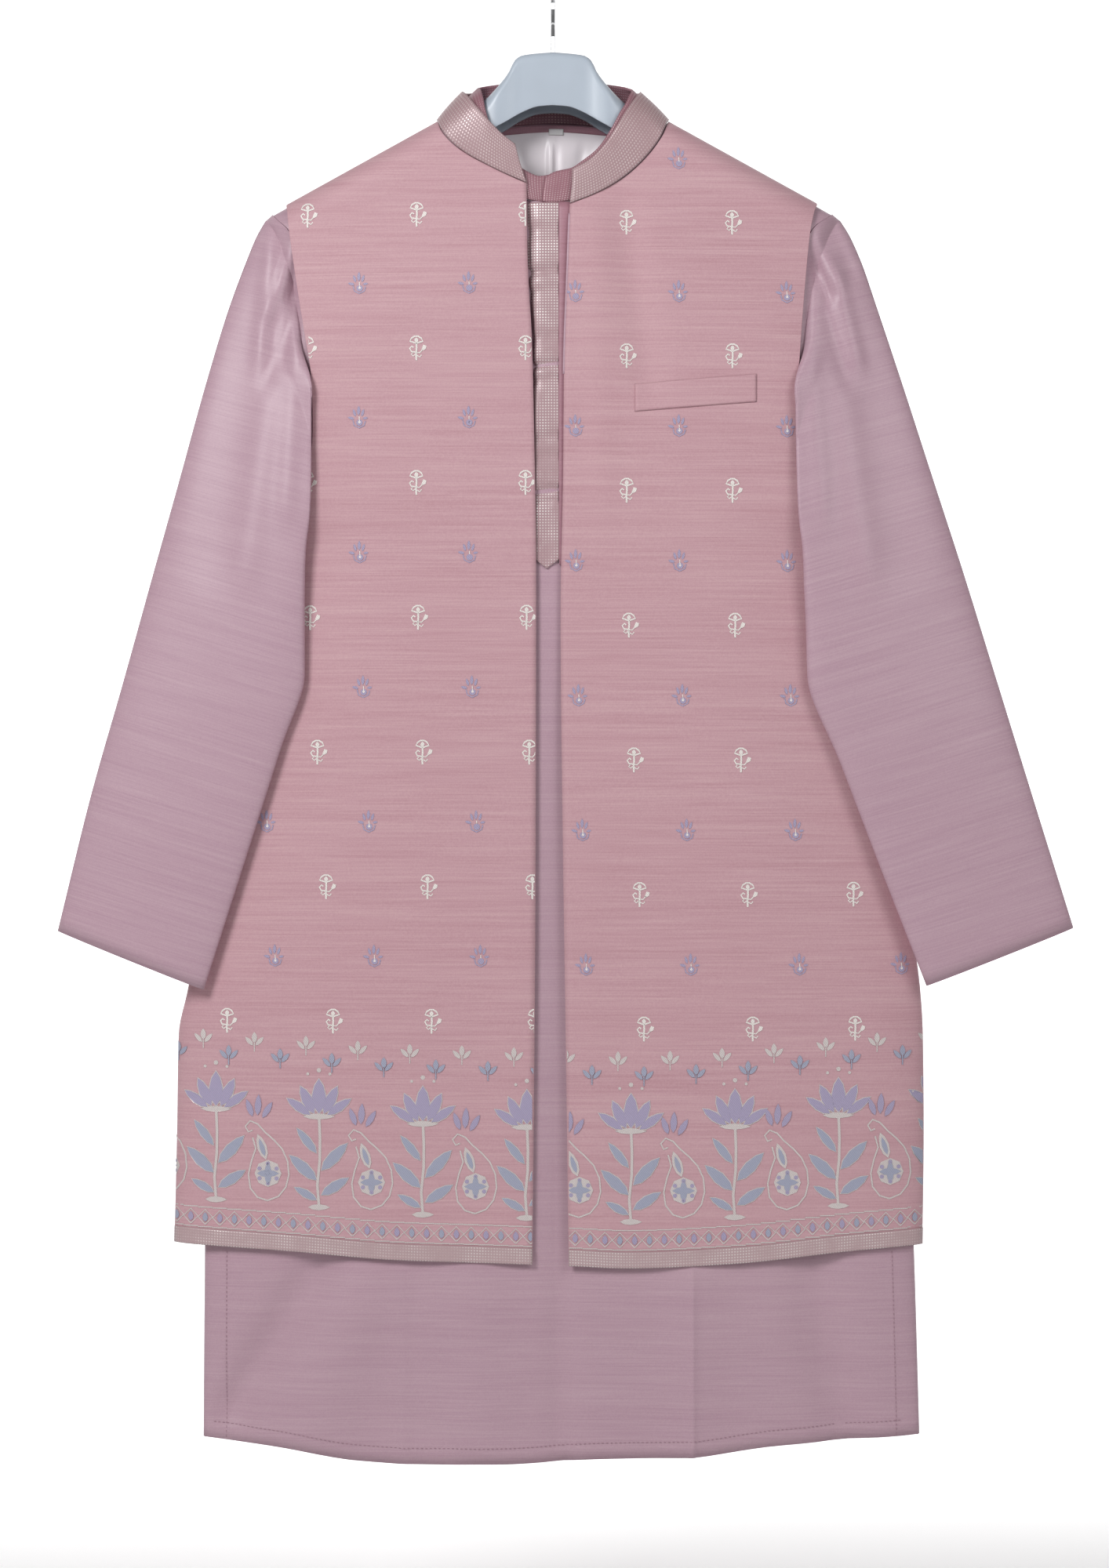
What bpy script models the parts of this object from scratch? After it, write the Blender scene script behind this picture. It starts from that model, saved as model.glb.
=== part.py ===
# A kurta under a long, open, sleeveless band-collar jacket, both on one plastic hanger.
# The tables are in millimetres and place() turns them into Blender's metres.
# X runs to the wearer's left, Y to the back and Z up. The origin is the inside of the hook's bend,
# where a rail holds the hanger, so the whole garment lies below it.

import math
from bisect import bisect_right
from collections import namedtuple

import bmesh
import bpy
from mathutils import Vector

MM = 0.001

# Driving sizes
KURTA_WALL = 1.2
JACKET_WALL = 1.5
COLLAR_WALL = 1.6
TRIM_WALL = 0.9  # hem tape, pocket welt, placket band and neck facing
SEAM_GAP = 0.4  # between pieces that are sewn together
ARMHOLE_GAP = 0.8  # the same at the armholes, where the sleeve turns sharply
FACING_GAP = 0.8  # between the kurta's back and the neck facing inside it
LAY_GAP = 0.3  # between a panel and what lies on it
SHOULDER_GAP = 0.35  # from the plane of the seams to a panel, along the shoulders
SIDE_GAP = 0.75  # the same along the sides
OVER_KURTA = 2.7  # how far the jacket lies outside the kurta on the shoulders
JACKET_EASE = 5.0  # how far it stands off lower down
SHOULDER_ROUND = 24.0  # radius of the kurta where it bends over the hanger
SETTLE = 120.0  # drop over which the cloth eases from that bend to the body's depth

NECK_POINT = 96.0  # half-width at which the shoulder line starts
NECK_POINT_Z = -121.2
SHOULDER_SLOPE = 0.552
KURTA_NECK = 88.0
JACKET_NECK = 94.0
KURTA_UNDERARM = -428.0
JACKET_UNDERARM = -467.0

Level = namedtuple("Level", "z right left")
Depth = namedtuple("Depth", "z value")
Edge = namedtuple("Edge", "x z")

# Half-widths on the wearer's right (-X) and left (+X): armhole seam, then side seam or slit
KURTA_WIDTH = (
    Level(-100, 228.0, 227.0),
    Level(-196, 228.0, 227.0),
    Level(-228, 220.5, 219.0),
    Level(-260, 213.0, 211.0),
    Level(-331, 202.5, 204.0),
    Level(-370, 203.0, 205.0),
    Level(-400, 207.8, 210.0),
    Level(-415, 217.0, 218.5),
    Level(-424, 226.0, 227.0),
    Level(-428, 232.0, 232.0),
    Level(-480, 236.0, 236.0),
    Level(-600, 252.0, 254.0),
    Level(-860, 276.0, 283.0),
    Level(-1000, 283.5, 293.0),
    Level(-1220, 284.8, 299.3),
)
JACKET_WIDTH = (
    Level(-100, 217.0, 215.0),
    Level(-188, 217.0, 215.0),
    Level(-196, 215.6, 212.0),
    Level(-212, 213.7, 208.5),
    Level(-256, 207.3, 204.0),
    Level(-298, 200.4, 200.5),
    Level(-331, 195.3, 198.3),
    Level(-370, 194.0, 196.5),
    Level(-400, 195.5, 197.5),
    Level(-425, 200.0, 202.0),
    Level(-445, 209.0, 211.0),
    Level(-457, 221.0, 223.0),
    Level(-464, 233.0, 234.0),
    Level(-467, 240.0, 241.0),
    Level(-480, 242.0, 243.0),
    Level(-600, 261.0, 262.0),
    Level(-720, 280.0, 281.0),
    Level(-827, 297.6, 299.5),
    Level(-865, 305.3, 301.8),
    Level(-942, 306.6, 302.5),
    Level(-1060, 309.5, 301.0),
)
FORM_MARGIN = 5.0  # the jacket's form is at least this much wider than the kurta

# Half-depth of the hanging kurta, and the share of it that is left at a panel's edge
BODY_DEPTH = (
    Depth(-150, 26.0),
    Depth(-250, 29.5),
    Depth(-440, 31.0),
    Depth(-700, 28.0),
    Depth(-1000, 22.0),
    Depth(-1220, 16.0),
)
KURTA_EDGE_SHARE = (
    Depth(-196, 0.50),
    Depth(-215, 0.55),
    Depth(-250, 0.62),
    Depth(-300, 0.62),
    Depth(-380, 0.55),
    Depth(-410, 0.40),
    Depth(-428, 0.02),
    Depth(-870, 0.02),
    Depth(-1040, 0.06),
    Depth(-1220, 0.30),
)
JACKET_EDGE_SHARE = (
    Depth(-188, 0.60),
    Depth(-215, 0.66),
    Depth(-250, 0.70),
    Depth(-390, 0.64),
    Depth(-430, 0.56),
    Depth(-452, 0.38),
    Depth(-467, 0.02),
    Depth(-1060, 0.02),
)

KURTA_NECKLINE = (
    Edge(0, -191.0),
    Edge(20, -188.0),
    Edge(40, -179.0),
    Edge(55, -168.5),
    Edge(70, -153.5),
    Edge(82, -136.4),
    Edge(88, -119.7),
)
JACKET_NECKLINE_RIGHT = (
    Edge(15, -176.5),
    Edge(21.2, -174.9),
    Edge(37.3, -167.9),
    Edge(51.3, -161.0),
    Edge(67.1, -152.7),
    Edge(82.3, -141.5),
    Edge(90.5, -131.0),
    Edge(94, -120.1),
)
JACKET_NECKLINE_LEFT = (
    Edge(8, -193.5),
    Edge(13.3, -192.0),
    Edge(28.5, -186.3),
    Edge(43.7, -178.7),
    Edge(59.5, -168.5),
    Edge(74.7, -154.0),
    Edge(87.5, -137.0),
    Edge(94, -120.1),
)
BACK_NECK_DIP = 20.0  # how far the back neckline lies below the shoulder form at the centre

# Front edges of the open jacket, as x at each height
JACKET_OPEN_RIGHT = (
    Depth(-165, -21.4),
    Depth(-218, -20.8),
    Depth(-257, -19.6),
    Depth(-298, -17.1),
    Depth(-357, -15.5),
    Depth(-502, -13.5),
    Depth(-724, -13.9),
    Depth(-1060, -16.6),
)
JACKET_OPEN_LEFT = (
    Depth(-180, 14.2),
    Depth(-207, 13.0),
    Depth(-250, 11.4),
    Depth(-322, 8.9),
    Depth(-408, 8.2),
    Depth(-521, 6.2),
    Depth(-724, 8.2),
    Depth(-850, 10.1),
    Depth(-1060, 12.9),
)

KURTA_HEM = (
    Edge(-300, -1190.0),
    Edge(-250, -1195.2),
    Edge(-214, -1199.5),
    Edge(-160, -1209.5),
    Edge(-110, -1212.4),
    Edge(-40, -1212.4),
    Edge(30, -1208.5),
    Edge(110, -1206.5),
    Edge(180, -1198.0),
    Edge(300, -1189.5),
)
KURTA_BACK_HEM_DROP = 2.6
JACKET_HEM = (
    Edge(-312, -1033.2),
    Edge(-215, -1038.7),
    Edge(-125, -1045.7),
    Edge(-60, -1047.8),
    Edge(20, -1050.7),
    Edge(60, -1052.4),
    Edge(145, -1048.8),
    Edge(240, -1039.3),
    Edge(305, -1034.8),
)

# Rows of a panel as shares of its drop, from shoulder to underarm and from underarm to hem.
# The first five keep to the round over the hanger.
UPPER_ROWS = (0, 0.005, 0.02, 0.043, 0.072, 0.104, 0.2, 0.33, 0.48, 0.63, 0.77, 0.89, 0.97, 1)
LOWER_ROWS = (0.05, 0.17, 0.37, 0.58, 0.79, 1)
NECK_COLUMNS = (0, 0.25, 0.48, 0.68, 0.83, 0.92, 0.965, 0.99, 1)  # shares of the neck's half-width
OUTER_COLUMNS = 5

# Large folds in the kurta below the jacket: a line, its half-width and its rise out of the cloth
Fold = namedtuple("Fold", "x0 z0 x1 z1 width rise")
KURTA_FOLDS = (
    Fold(-192, -1040, -262, -1165, 30, -4.5),
    Fold(-150, -1060, -205, -1200, 26, 2.5),
    Fold(8, -780, 6, -1215, 22, -3.5),
    Fold(-60, -900, -66, -1215, 32, 2.5),
    Fold(114, -1040, 113, -1215, 24, 3.0),
    Fold(205, -1010, 238, -1200, 30, -2.5),
)

# A collar's top edge over a share of the neckline, from the front or back centre to the neck point.
# top_x is measured away from the centre. The base is the panels' own neckline.
Stand = namedtuple("Stand", "share top_x top_z top_y")
JACKET_STAND_RIGHT = (
    Stand(0, 30.4, -144.0, -30.0),
    Stand(0.25, 40.7, -135.8, -30.0),
    Stand(0.48, 50.5, -125.8, -30.0),
    Stand(0.68, 58.5, -116.3, -28.5),
    Stand(0.83, 64.0, -109.5, -25.5),
    Stand(0.92, 67.5, -104.3, -20.5),
    Stand(0.965, 70.3, -100.5, -14.5),
    Stand(0.99, 72.3, -97.8, -7.5),
    Stand(1, 73.2, -96.2, 0.0),
)
JACKET_STAND_LEFT = (
    Stand(0, 15.9, -163.7, -29.0),
    Stand(0.25, 29.5, -156.2, -29.7),
    Stand(0.48, 42.0, -143.5, -30.0),
    Stand(0.68, 51.0, -130.0, -29.5),
    Stand(0.83, 57.5, -118.5, -26.5),
    Stand(0.92, 63.2, -109.3, -21.0),
    Stand(0.965, 66.7, -103.5, -14.5),
    Stand(0.99, 69.3, -99.3, -7.5),
    Stand(1, 70.6, -96.5, 0.0),
)
JACKET_STAND_BACK = (
    Stand(0, 0.0, -79.0, 30.3),
    Stand(0.25, 19.0, -79.5, 30.0),
    Stand(0.48, 36.0, -80.6, 29.0),
    Stand(0.68, 50.0, -82.5, 27.0),
    Stand(0.83, 60.0, -85.5, 23.5),
    Stand(0.92, 66.0, -89.0, 18.5),
    Stand(0.965, 69.5, -92.0, 13.0),
    Stand(0.99, 71.0, -94.5, 7.0),
)
KURTA_STAND_RIGHT = (
    Stand(-0.034, -2.0, -166.5, -22.6),
    Stand(0.11, 10.5, -168.6, -22.9),
    Stand(0.25, 25.0, -162.8, -24.6),
    Stand(0.48, 38.5, -149.5, -24.8),
    Stand(0.68, 48.5, -132.5, -24.8),
    Stand(0.83, 54.0, -116.5, -22.5),
    Stand(0.92, 56.0, -106.5, -19.0),
    Stand(0.965, 57.0, -101.0, -13.5),
    Stand(0.99, 58.0, -97.0, -7.0),
    Stand(1, 58.8, -94.0, 0.0),
)
KURTA_STAND_LEFT = (
    Stand(-0.097, -6.3, -170.0, -25.0),
    Stand(-0.01, 2.0, -165.4, -25.0),
    Stand(0.13, 15.5, -162.2, -25.0),
    Stand(0.25, 22.5, -157.5, -25.0),
    Stand(0.48, 36.0, -146.5, -25.0),
    Stand(0.68, 47.0, -130.5, -24.8),
    Stand(0.83, 54.0, -117.0, -22.5),
    Stand(0.92, 59.0, -108.5, -19.0),
    Stand(0.965, 61.3, -102.5, -13.5),
    Stand(0.99, 63.0, -98.0, -7.0),
    Stand(1, 64.0, -94.8, 0.0),
)
KURTA_STAND_BACK = (
    Stand(0, 0.0, -82.5, 23.7),
    Stand(0.25, 15.0, -82.7, 23.5),
    Stand(0.48, 29.0, -83.3, 23.0),
    Stand(0.68, 40.0, -84.5, 22.0),
    Stand(0.83, 48.5, -86.3, 19.8),
    Stand(0.92, 55.0, -88.5, 16.0),
    Stand(0.965, 59.0, -90.5, 11.5),
    Stand(0.99, 61.0, -92.3, 6.5),
)
COLLAR_INSET = 0.995  # a collar's base stands this share of the way out to the panel's edge
UNDER_END_TUCK = 2.2  # how far the collar's under end lies behind its over end
COLLAR_ROWS = (0.0, 0.35, 0.7, 1.0)
COLLAR_BELLY = 0.9

# Sleeve rings: the outer and inner folds, the half-thickness between its layers, and how far the
# ring bows towards the body. The first ring is the armhole seam itself.
Ring = namedtuple("Ring", "outer_x outer_z outer_y inner_x inner_z inner_y thick bow")
SLEEVE_RIGHT = (
    Ring(-234.0, -202.0, 0.0, -235.0, -431.5, -4.0, 19.0, 22.5),
    Ring(-240.5, -214.0, -2.0, -234.0, -435.5, -14.0, 19.0, 25.0),
    Ring(-250.0, -238.0, -5.0, -217.0, -446.0, -30.0, 16.0, 23.0),
    Ring(-263.5, -276.0, -8.0, -202.0, -462.0, -36.5, 13.5, 17.0),
    Ring(-282.0, -338.0, -10.0, -200.8, -492.0, -37.5, 12.5, 8.0),
    Ring(-301.7, -410.5, -12.0, -200.8, -530.0, -37.0, 12.0, 3.0),
    Ring(-323.5, -489.0, -13.0, -200.8, -571.8, -36.0, 12.0, 0.0),
    Ring(-348.3, -579.0, -14.0, -220.0, -631.0, -33.5, 11.5, 0.0),
    Ring(-374.1, -670.0, -14.5, -251.0, -727.0, -30.0, 10.5, 0.0),
    Ring(-401.0, -780.0, -15.0, -283.2, -826.5, -26.0, 8.5, 0.0),
)
SLEEVE_LEFT = (
    Ring(234.0, -202.0, 0.0, 235.0, -431.5, -4.0, 19.0, 22.5),
    Ring(240.5, -213.0, -2.0, 235.0, -435.5, -14.0, 19.0, 25.0),
    Ring(250.0, -235.0, -5.0, 218.0, -446.0, -30.0, 16.0, 22.5),
    Ring(264.0, -277.0, -8.0, 204.0, -463.0, -36.5, 13.5, 16.0),
    Ring(284.0, -338.0, -10.0, 203.0, -493.0, -37.5, 12.5, 8.0),
    Ring(307.2, -410.5, -12.0, 204.5, -533.0, -37.0, 12.0, 3.0),
    Ring(332.5, -489.0, -13.0, 205.9, -575.0, -36.0, 12.0, 0.0),
    Ring(360.2, -579.0, -14.0, 232.5, -643.0, -33.5, 11.5, 0.0),
    Ring(388.5, -671.0, -14.5, 263.0, -722.0, -30.0, 10.5, 0.0),
    Ring(421.5, -777.5, -15.0, 302.9, -823.3, -26.0, 8.5, 0.0),
)
SLEEVE_CLEARANCE = 3.0  # from a front panel to the sleeve that hangs before it
LAYER_CLEARANCE = 5.0  # between a sleeve's two layers where the panels push on them
BESIDE_SLOPE = 0.45  # how fast a sleeve falls back beside a panel's edge, at the underarm
BESIDE_SLOPE_ABOVE = 3.0  # and how fast its back layer does so higher up

PLACKET_LEFT_X = 5.1
PLACKET_RIGHT_X = -14.6
PLACKET_TOP_Z = -193.0
PLACKET_CORNER_Z = -479.3
PLACKET_TIP_Z = -486.9

WELT_WIDTH = 98.5
WELT_HEIGHT = 22.8
WELT_CORNER = (65.8, -360.4)  # lower corner on the wearer's right
WELT_RISE = 8.0  # across its width

TAPE_HEIGHT = 13.4
FACING_HALF_WIDTH = 66.0
FACING_DROP = 78.0
LABEL_X = 2.6
LABEL_WIDTH = 12.0
LABEL_HEIGHT = 5.0

# The hanger's half-outline from the front, its half-depth and the radius of its top edges
HangerRow = namedtuple("HangerRow", "x top bottom half_depth round_radius")
HANGER_HEAD = (
    HangerRow(0, -65.7, -109.6, 17.5, 6.0),
    HangerRow(12, -66.6, -110.6, 17.5, 6.0),
    HangerRow(25, -68.2, -115.4, 17.5, 6.0),
    HangerRow(31, -72.0, -118.8, 18.0, 7.0),
    HangerRow(36, -82.0, -122.0, 19.0, 8.0),
    HangerRow(45, -93.5, -127.0, 20.0, 10.0),
    HangerRow(55, -103.0, -132.5, 18.5, 14.0),
    HangerRow(68, -112.7, -141.0, 17.0, 16.0),
    HangerRow(80, -120.0, -149.5, 16.5, 16.0),
)
ArmRow = namedtuple("ArmRow", "x height half_depth")
HANGER_ARM = (
    ArmRow(96, 30.0, 17.5),
    ArmRow(125, 30.0, 20.0),
    ArmRow(160, 29.0, 18.5),
    ArmRow(190, 26.0, 15.5),
    ArmRow(206, 22.0, 12.0),
    ArmRow(213, 17.0, 8.0),
)
HANGER_UNDER_RIDGE = OVER_KURTA + KURTA_WALL + 0.6
HANGER_WALL = 2.4
HANGER_ARC_STEPS = 3

HOOK_WIRE = 1.9  # radius
HOOK_INNER = 20.0
HOOK_STEPS = 18
HOOK_FOOT = -65.3

KURTA_CLOTH = (0.49, 0.34, 0.39)
JACKET_CLOTH = (0.57, 0.36, 0.39)
COLLAR_CLOTH = (0.44, 0.30, 0.32)
KURTA_COLLAR_CLOTH = (0.26, 0.12, 0.15)
TAPE_CLOTH = (0.55, 0.43, 0.44)
SATIN = (0.50, 0.45, 0.48)
WHITE = (0.85, 0.85, 0.85)
HANGER_PLASTIC = (0.47, 0.53, 0.60)
STEEL = (0.6, 0.6, 0.6)


def through(points):
    """Smooth curve through (place, value) points that never overshoots them."""
    points = sorted(points)
    places = [p for p, _ in points]
    values = [v for _, v in points]
    slopes = [(values[i + 1] - values[i]) / (places[i + 1] - places[i]) for i in range(len(points) - 1)]
    inner = [0.0 if a * b <= 0 else 2 * a * b / (a + b) for a, b in zip(slopes, slopes[1:])]
    tangents = [slopes[0]] + inner + [slopes[-1]]

    def at(place):
        place = min(max(place, places[0]), places[-1])
        i = min(bisect_right(places, place) - 1, len(slopes) - 1)
        span = places[i + 1] - places[i]
        t = (place - places[i]) / span
        start = (1 + 2 * t) * (1 - t) ** 2 * values[i] + t * (1 - t) ** 2 * span * tangents[i]
        end = t * t * (3 - 2 * t) * values[i + 1] + t * t * (t - 1) * span * tangents[i + 1]
        return start + end

    return at


def two_sided(levels):
    """Half-width as a function of (side, z) from a table of Level rows."""
    sides = {
        -1: through([(row.z, row.right) for row in levels]),
        1: through([(row.z, row.left) for row in levels]),
    }
    return lambda side, z: sides[side](z)


def blend(a, b, share):
    return a + (b - a) * share


def ease(share):
    share = min(max(share, 0.0), 1.0)
    return share * share * (3 - 2 * share)


def side_of(x):
    return -1 if x < 0 else 1


def place(x, y, z):
    return Vector((x * MM, y * MM, z * MM))


kurta_width = two_sided(KURTA_WIDTH)
jacket_width = two_sided(JACKET_WIDTH)
body_depth = through(BODY_DEPTH)
kurta_edge_share = through(KURTA_EDGE_SHARE)
jacket_edge_share = through(JACKET_EDGE_SHARE)
kurta_neckline = through(KURTA_NECKLINE)
jacket_necklines = {-1: through(JACKET_NECKLINE_RIGHT), 1: through(JACKET_NECKLINE_LEFT)}
jacket_openings = {-1: through(JACKET_OPEN_RIGHT), 1: through(JACKET_OPEN_LEFT)}
kurta_hem = through(KURTA_HEM)
jacket_hem = through(JACKET_HEM)


def ridge(x):
    """Height of the jacket where it bends over the shoulders, domed over the neck."""
    if abs(x) >= NECK_POINT:
        return NECK_POINT_Z - SHOULDER_SLOPE * (abs(x) - NECK_POINT)
    dome = SHOULDER_SLOPE * NECK_POINT / 2
    return NECK_POINT_Z + dome * (1 - (x / NECK_POINT) ** 2)


def fold_relief(x, z, folds):
    """Soft troughs and ridges, each along a line and fading out at its ends."""
    total = 0.0
    for fold in folds:
        along_x, along_z = fold.x1 - fold.x0, fold.z1 - fold.z0
        length = math.hypot(along_x, along_z)
        along = ((x - fold.x0) * along_x + (z - fold.z0) * along_z) / length**2
        beside = ((x - fold.x0) * along_z - (z - fold.z0) * along_x) / length
        reach = ease(along * 3 + 0.6) * ease((1 - along) * 3 + 0.9)
        total += fold.rise * reach * math.exp(-((beside / fold.width) ** 2))
    return total


def rounded(drop, radius, depth):
    """Half-depth at a drop below the ridge: a quarter round, then an easing to the body's depth."""
    drop = max(drop, 0.0)
    if drop < radius:
        return math.sqrt(radius**2 - (radius - drop) ** 2)
    return blend(radius, depth, ease((drop - radius) / SETTLE))


def seam_gap(drop):
    return blend(SHOULDER_GAP, SIDE_GAP, ease(drop / 60))


def kurta_half_depth(x, z):
    drop = ridge(x) - OVER_KURTA - z
    share = min(abs(x) / kurta_width(side_of(x), z), 1.0)
    edge = kurta_edge_share(z)
    form = rounded(drop, SHOULDER_ROUND, body_depth(z))
    return seam_gap(drop) + form * (edge + (1 - edge) * math.sqrt(1 - share**4))


def jacket_form_width(side, z):
    return max(kurta_width(side, z) + FORM_MARGIN, jacket_width(side, z))


def jacket_half_depth(x, z):
    drop = ridge(x) - z
    share = min(abs(x) / jacket_form_width(side_of(x), z), 1.0)
    edge = jacket_edge_share(z)
    form = rounded(drop, SHOULDER_ROUND + OVER_KURTA, body_depth(z) + JACKET_EASE)
    return seam_gap(drop) + form * (edge + (1 - edge) * math.sqrt(1 - share**4))


def kurta_front(x, z):
    return Vector((x, -kurta_half_depth(x, z) - fold_relief(x, z, KURTA_FOLDS), z))


def kurta_back(x, z):
    return Vector((x, kurta_half_depth(x, z), z))


def jacket_front(x, z):
    return Vector((x, -jacket_half_depth(x, z), z))


def jacket_back(x, z):
    return Vector((x, jacket_half_depth(x, z), z))


def moved_out(surface, x, z, distance):
    """A point above a surface of (x, z), along its outward normal."""
    step = 0.5
    point = surface(x, z)
    across = surface(x + step, z) - surface(x - step, z)
    down = surface(x, z - step) - surface(x, z + step)
    normal = across.cross(down).normalized()
    if normal.y * point.y < 0:
        normal.negate()
    return point + normal * distance


def back_neckline(x, neck, under_ridge):
    """A shallow scoop that meets the shoulder line at the neck points."""
    dip = BACK_NECK_DIP * (1 - min(abs(x) / neck, 1.0) ** 3)
    return ridge(x) - under_ridge - dip


def outer_shares(start):
    """Shares of a half-width beyond the neck, closer together towards the side seam."""
    first = math.asin(start**2)
    last = math.pi / 2
    return [math.sqrt(math.sin(blend(first, last, i / OUTER_COLUMNS))) for i in range(1, OUTER_COLUMNS + 1)]


def half_columns(neck_share):
    return [share * neck_share for share in NECK_COLUMNS] + outer_shares(neck_share)


def panel_rows(columns, across, top, underarm, hem, surface):
    """Rows of points down a panel. across(share, z) gives x, and top and hem give heights at x."""
    rows = []
    starts = [(share, top(across(share, KURTA_NECKLINE[0].z))) for share in columns]
    for level in UPPER_ROWS:
        heights = [(share, blend(start, underarm, level)) for share, start in starts]
        rows.append([surface(across(share, z), z) for share, z in heights])
    for level in LOWER_ROWS:
        row = []
        for share in columns:
            z = blend(underarm, hem(across(share, hem(0.0))), level)
            row.append(surface(across(share, z), z))
        rows.append(row)
    return rows


def material(name, colour, roughness, metallic=0.0):
    made = bpy.data.materials.get(name)
    if made:
        return made
    made = bpy.data.materials.new(name)
    made.use_nodes = True
    shader = made.node_tree.nodes["Principled BSDF"]
    shader.inputs["Base Color"].default_value = (*colour, 1.0)
    shader.inputs["Roughness"].default_value = roughness
    shader.inputs["Metallic"].default_value = metallic
    made.diffuse_color = (*colour, 1.0)
    return made


def add_object(name, data, finish, collection):
    added = bpy.data.objects.new(name, data)
    added.data.materials.append(finish)
    collection.objects.link(added)
    return added


def cloth_wall(name, rows, wall, finish, collection, outward=1, closed=False):
    """A wall of cloth from rows of millimetre points. The points are its outer face, and outward is
    -1 where the rows run so that their faces would point into the garment."""
    mesh = bpy.data.meshes.new(name)
    shape = bmesh.new()
    grid = [[shape.verts.new(place(*point)) for point in row] for row in rows]
    count = len(grid[0])
    for upper, lower in zip(grid, grid[1:]):
        for i in range(count if closed else count - 1):
            j = (i + 1) % count
            corners = [upper[i], upper[j], lower[j], lower[i]]
            shape.faces.new(corners if outward > 0 else corners[::-1])
    shape.to_mesh(mesh)
    shape.free()
    mesh.shade_smooth()
    added = add_object(name, mesh, finish, collection)
    thick = added.modifiers.new("Wall", "SOLIDIFY")
    thick.thickness = wall * MM
    thick.offset = -1.0
    return added


def build_kurta_body(collection):
    finish = material("kurta silk blend", KURTA_CLOTH, 0.45)
    half = half_columns(KURTA_NECK / kurta_width(-1, KURTA_NECKLINE[0].z))
    columns = [-share for share in reversed(half[1:])] + half

    def across(share, z):
        return share * kurta_width(side_of(share), z)

    def front_top(x):
        if abs(x) < KURTA_NECK:
            return kurta_neckline(abs(x))
        return ridge(x) - OVER_KURTA

    def back_top(x):
        return back_neckline(x, KURTA_NECK, OVER_KURTA)

    def back_hem(x):
        return kurta_hem(x) - KURTA_BACK_HEM_DROP

    front = panel_rows(columns, across, front_top, KURTA_UNDERARM, kurta_hem, kurta_front)
    back = panel_rows(columns, across, back_top, KURTA_UNDERARM, back_hem, kurta_back)
    cloth_wall("kurta_front", front, KURTA_WALL, finish, collection, outward=-1)
    cloth_wall("kurta_back", back, KURTA_WALL, finish, collection)


def armhole_ring(side):
    """The kurta's armhole seam: down the front from the shoulder tip and up the back."""
    tip_z = ridge(kurta_width(side, -190)) - OVER_KURTA
    heights = [blend(tip_z, KURTA_UNDERARM, level) for level in UPPER_ROWS]
    front = []
    for z in heights:
        x = side * kurta_width(side, z)
        point = kurta_front(x, z)
        front.append(Vector((x + side * ARMHOLE_GAP, point.y, z)))
    for end in (front[0], front[-1]):
        end.y = 0.0
    back = [Vector((p.x, -p.y, p.z)) for p in front[1:-1]]
    return front + back[::-1]


def before_panel(surface, width, x, z, slope):
    """The furthest back that a sleeve may lie at x, z: before a panel, or falling back beside it."""
    side = side_of(x)
    edge = width(side, z)
    if abs(x) <= edge:
        return moved_out(surface, x, z, SLEEVE_CLEARANCE).y
    return surface(side * edge, z).y - SLEEVE_CLEARANCE + (abs(x) - edge) * slope


def sleeve_ring(ring, at_seam):
    """A bowed, flattened loop, front layer first. Past the seam its layers keep before the panels."""
    side = side_of(ring.outer_x)
    middle = Vector(((ring.outer_x + ring.inner_x) / 2, 0, (ring.outer_z + ring.inner_z) / 2))
    half = Vector((ring.outer_x, 0, ring.outer_z)) - middle
    inward = Vector((-side * abs(half.z), 0, side * half.x * side_of(half.z) * -1)).normalized()
    angles = [math.acos(1 - 2 * level) for level in UPPER_ROWS]
    angles += [2 * math.pi - angle for angle in angles[-2:0:-1]]
    points = []
    for angle in angles:
        point = middle + half * math.cos(angle) + inward * ring.bow * math.sin(angle) ** 2
        line = blend(ring.outer_y, ring.inner_y, (1 - math.cos(angle)) / 2)
        point.y = line - ring.thick * math.sin(angle)
        if not at_seam:
            slope, layers = BESIDE_SLOPE, LAYER_CLEARANCE * math.sin(angle)
            if angle > math.pi:
                slope = blend(BESIDE_SLOPE_ABOVE, BESIDE_SLOPE, ease((-370 - point.z) / 40))
                layers = 0.0
            for surface, width in ((jacket_front, jacket_width), (kurta_front, kurta_width)):
                limit = before_panel(surface, width, point.x, point.z, slope) - layers
                point.y = min(point.y, limit)
        points.append(point)
    return points


def between_rings(rings):
    """The rings with one more between each two, on smooth curves through their values."""
    curves = [through(list(enumerate(values))) for values in zip(*rings)]
    steps = 2 * (len(rings) - 1) + 1
    return [Ring(*(curve(i / 2) for curve in curves)) for i in range(steps)]


def build_sleeves(collection):
    finish = material("kurta silk blend", KURTA_CLOTH, 0.45)
    for name, side, table in (("right", -1, SLEEVE_RIGHT), ("left", 1, SLEEVE_LEFT)):
        rows = [armhole_ring(side)]
        rows += [sleeve_ring(ring, i == 0) for i, ring in enumerate(between_rings(table))]
        cloth_wall(f"kurta_sleeve_{name}", rows, KURTA_WALL, finish, collection, outward=side, closed=True)


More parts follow.
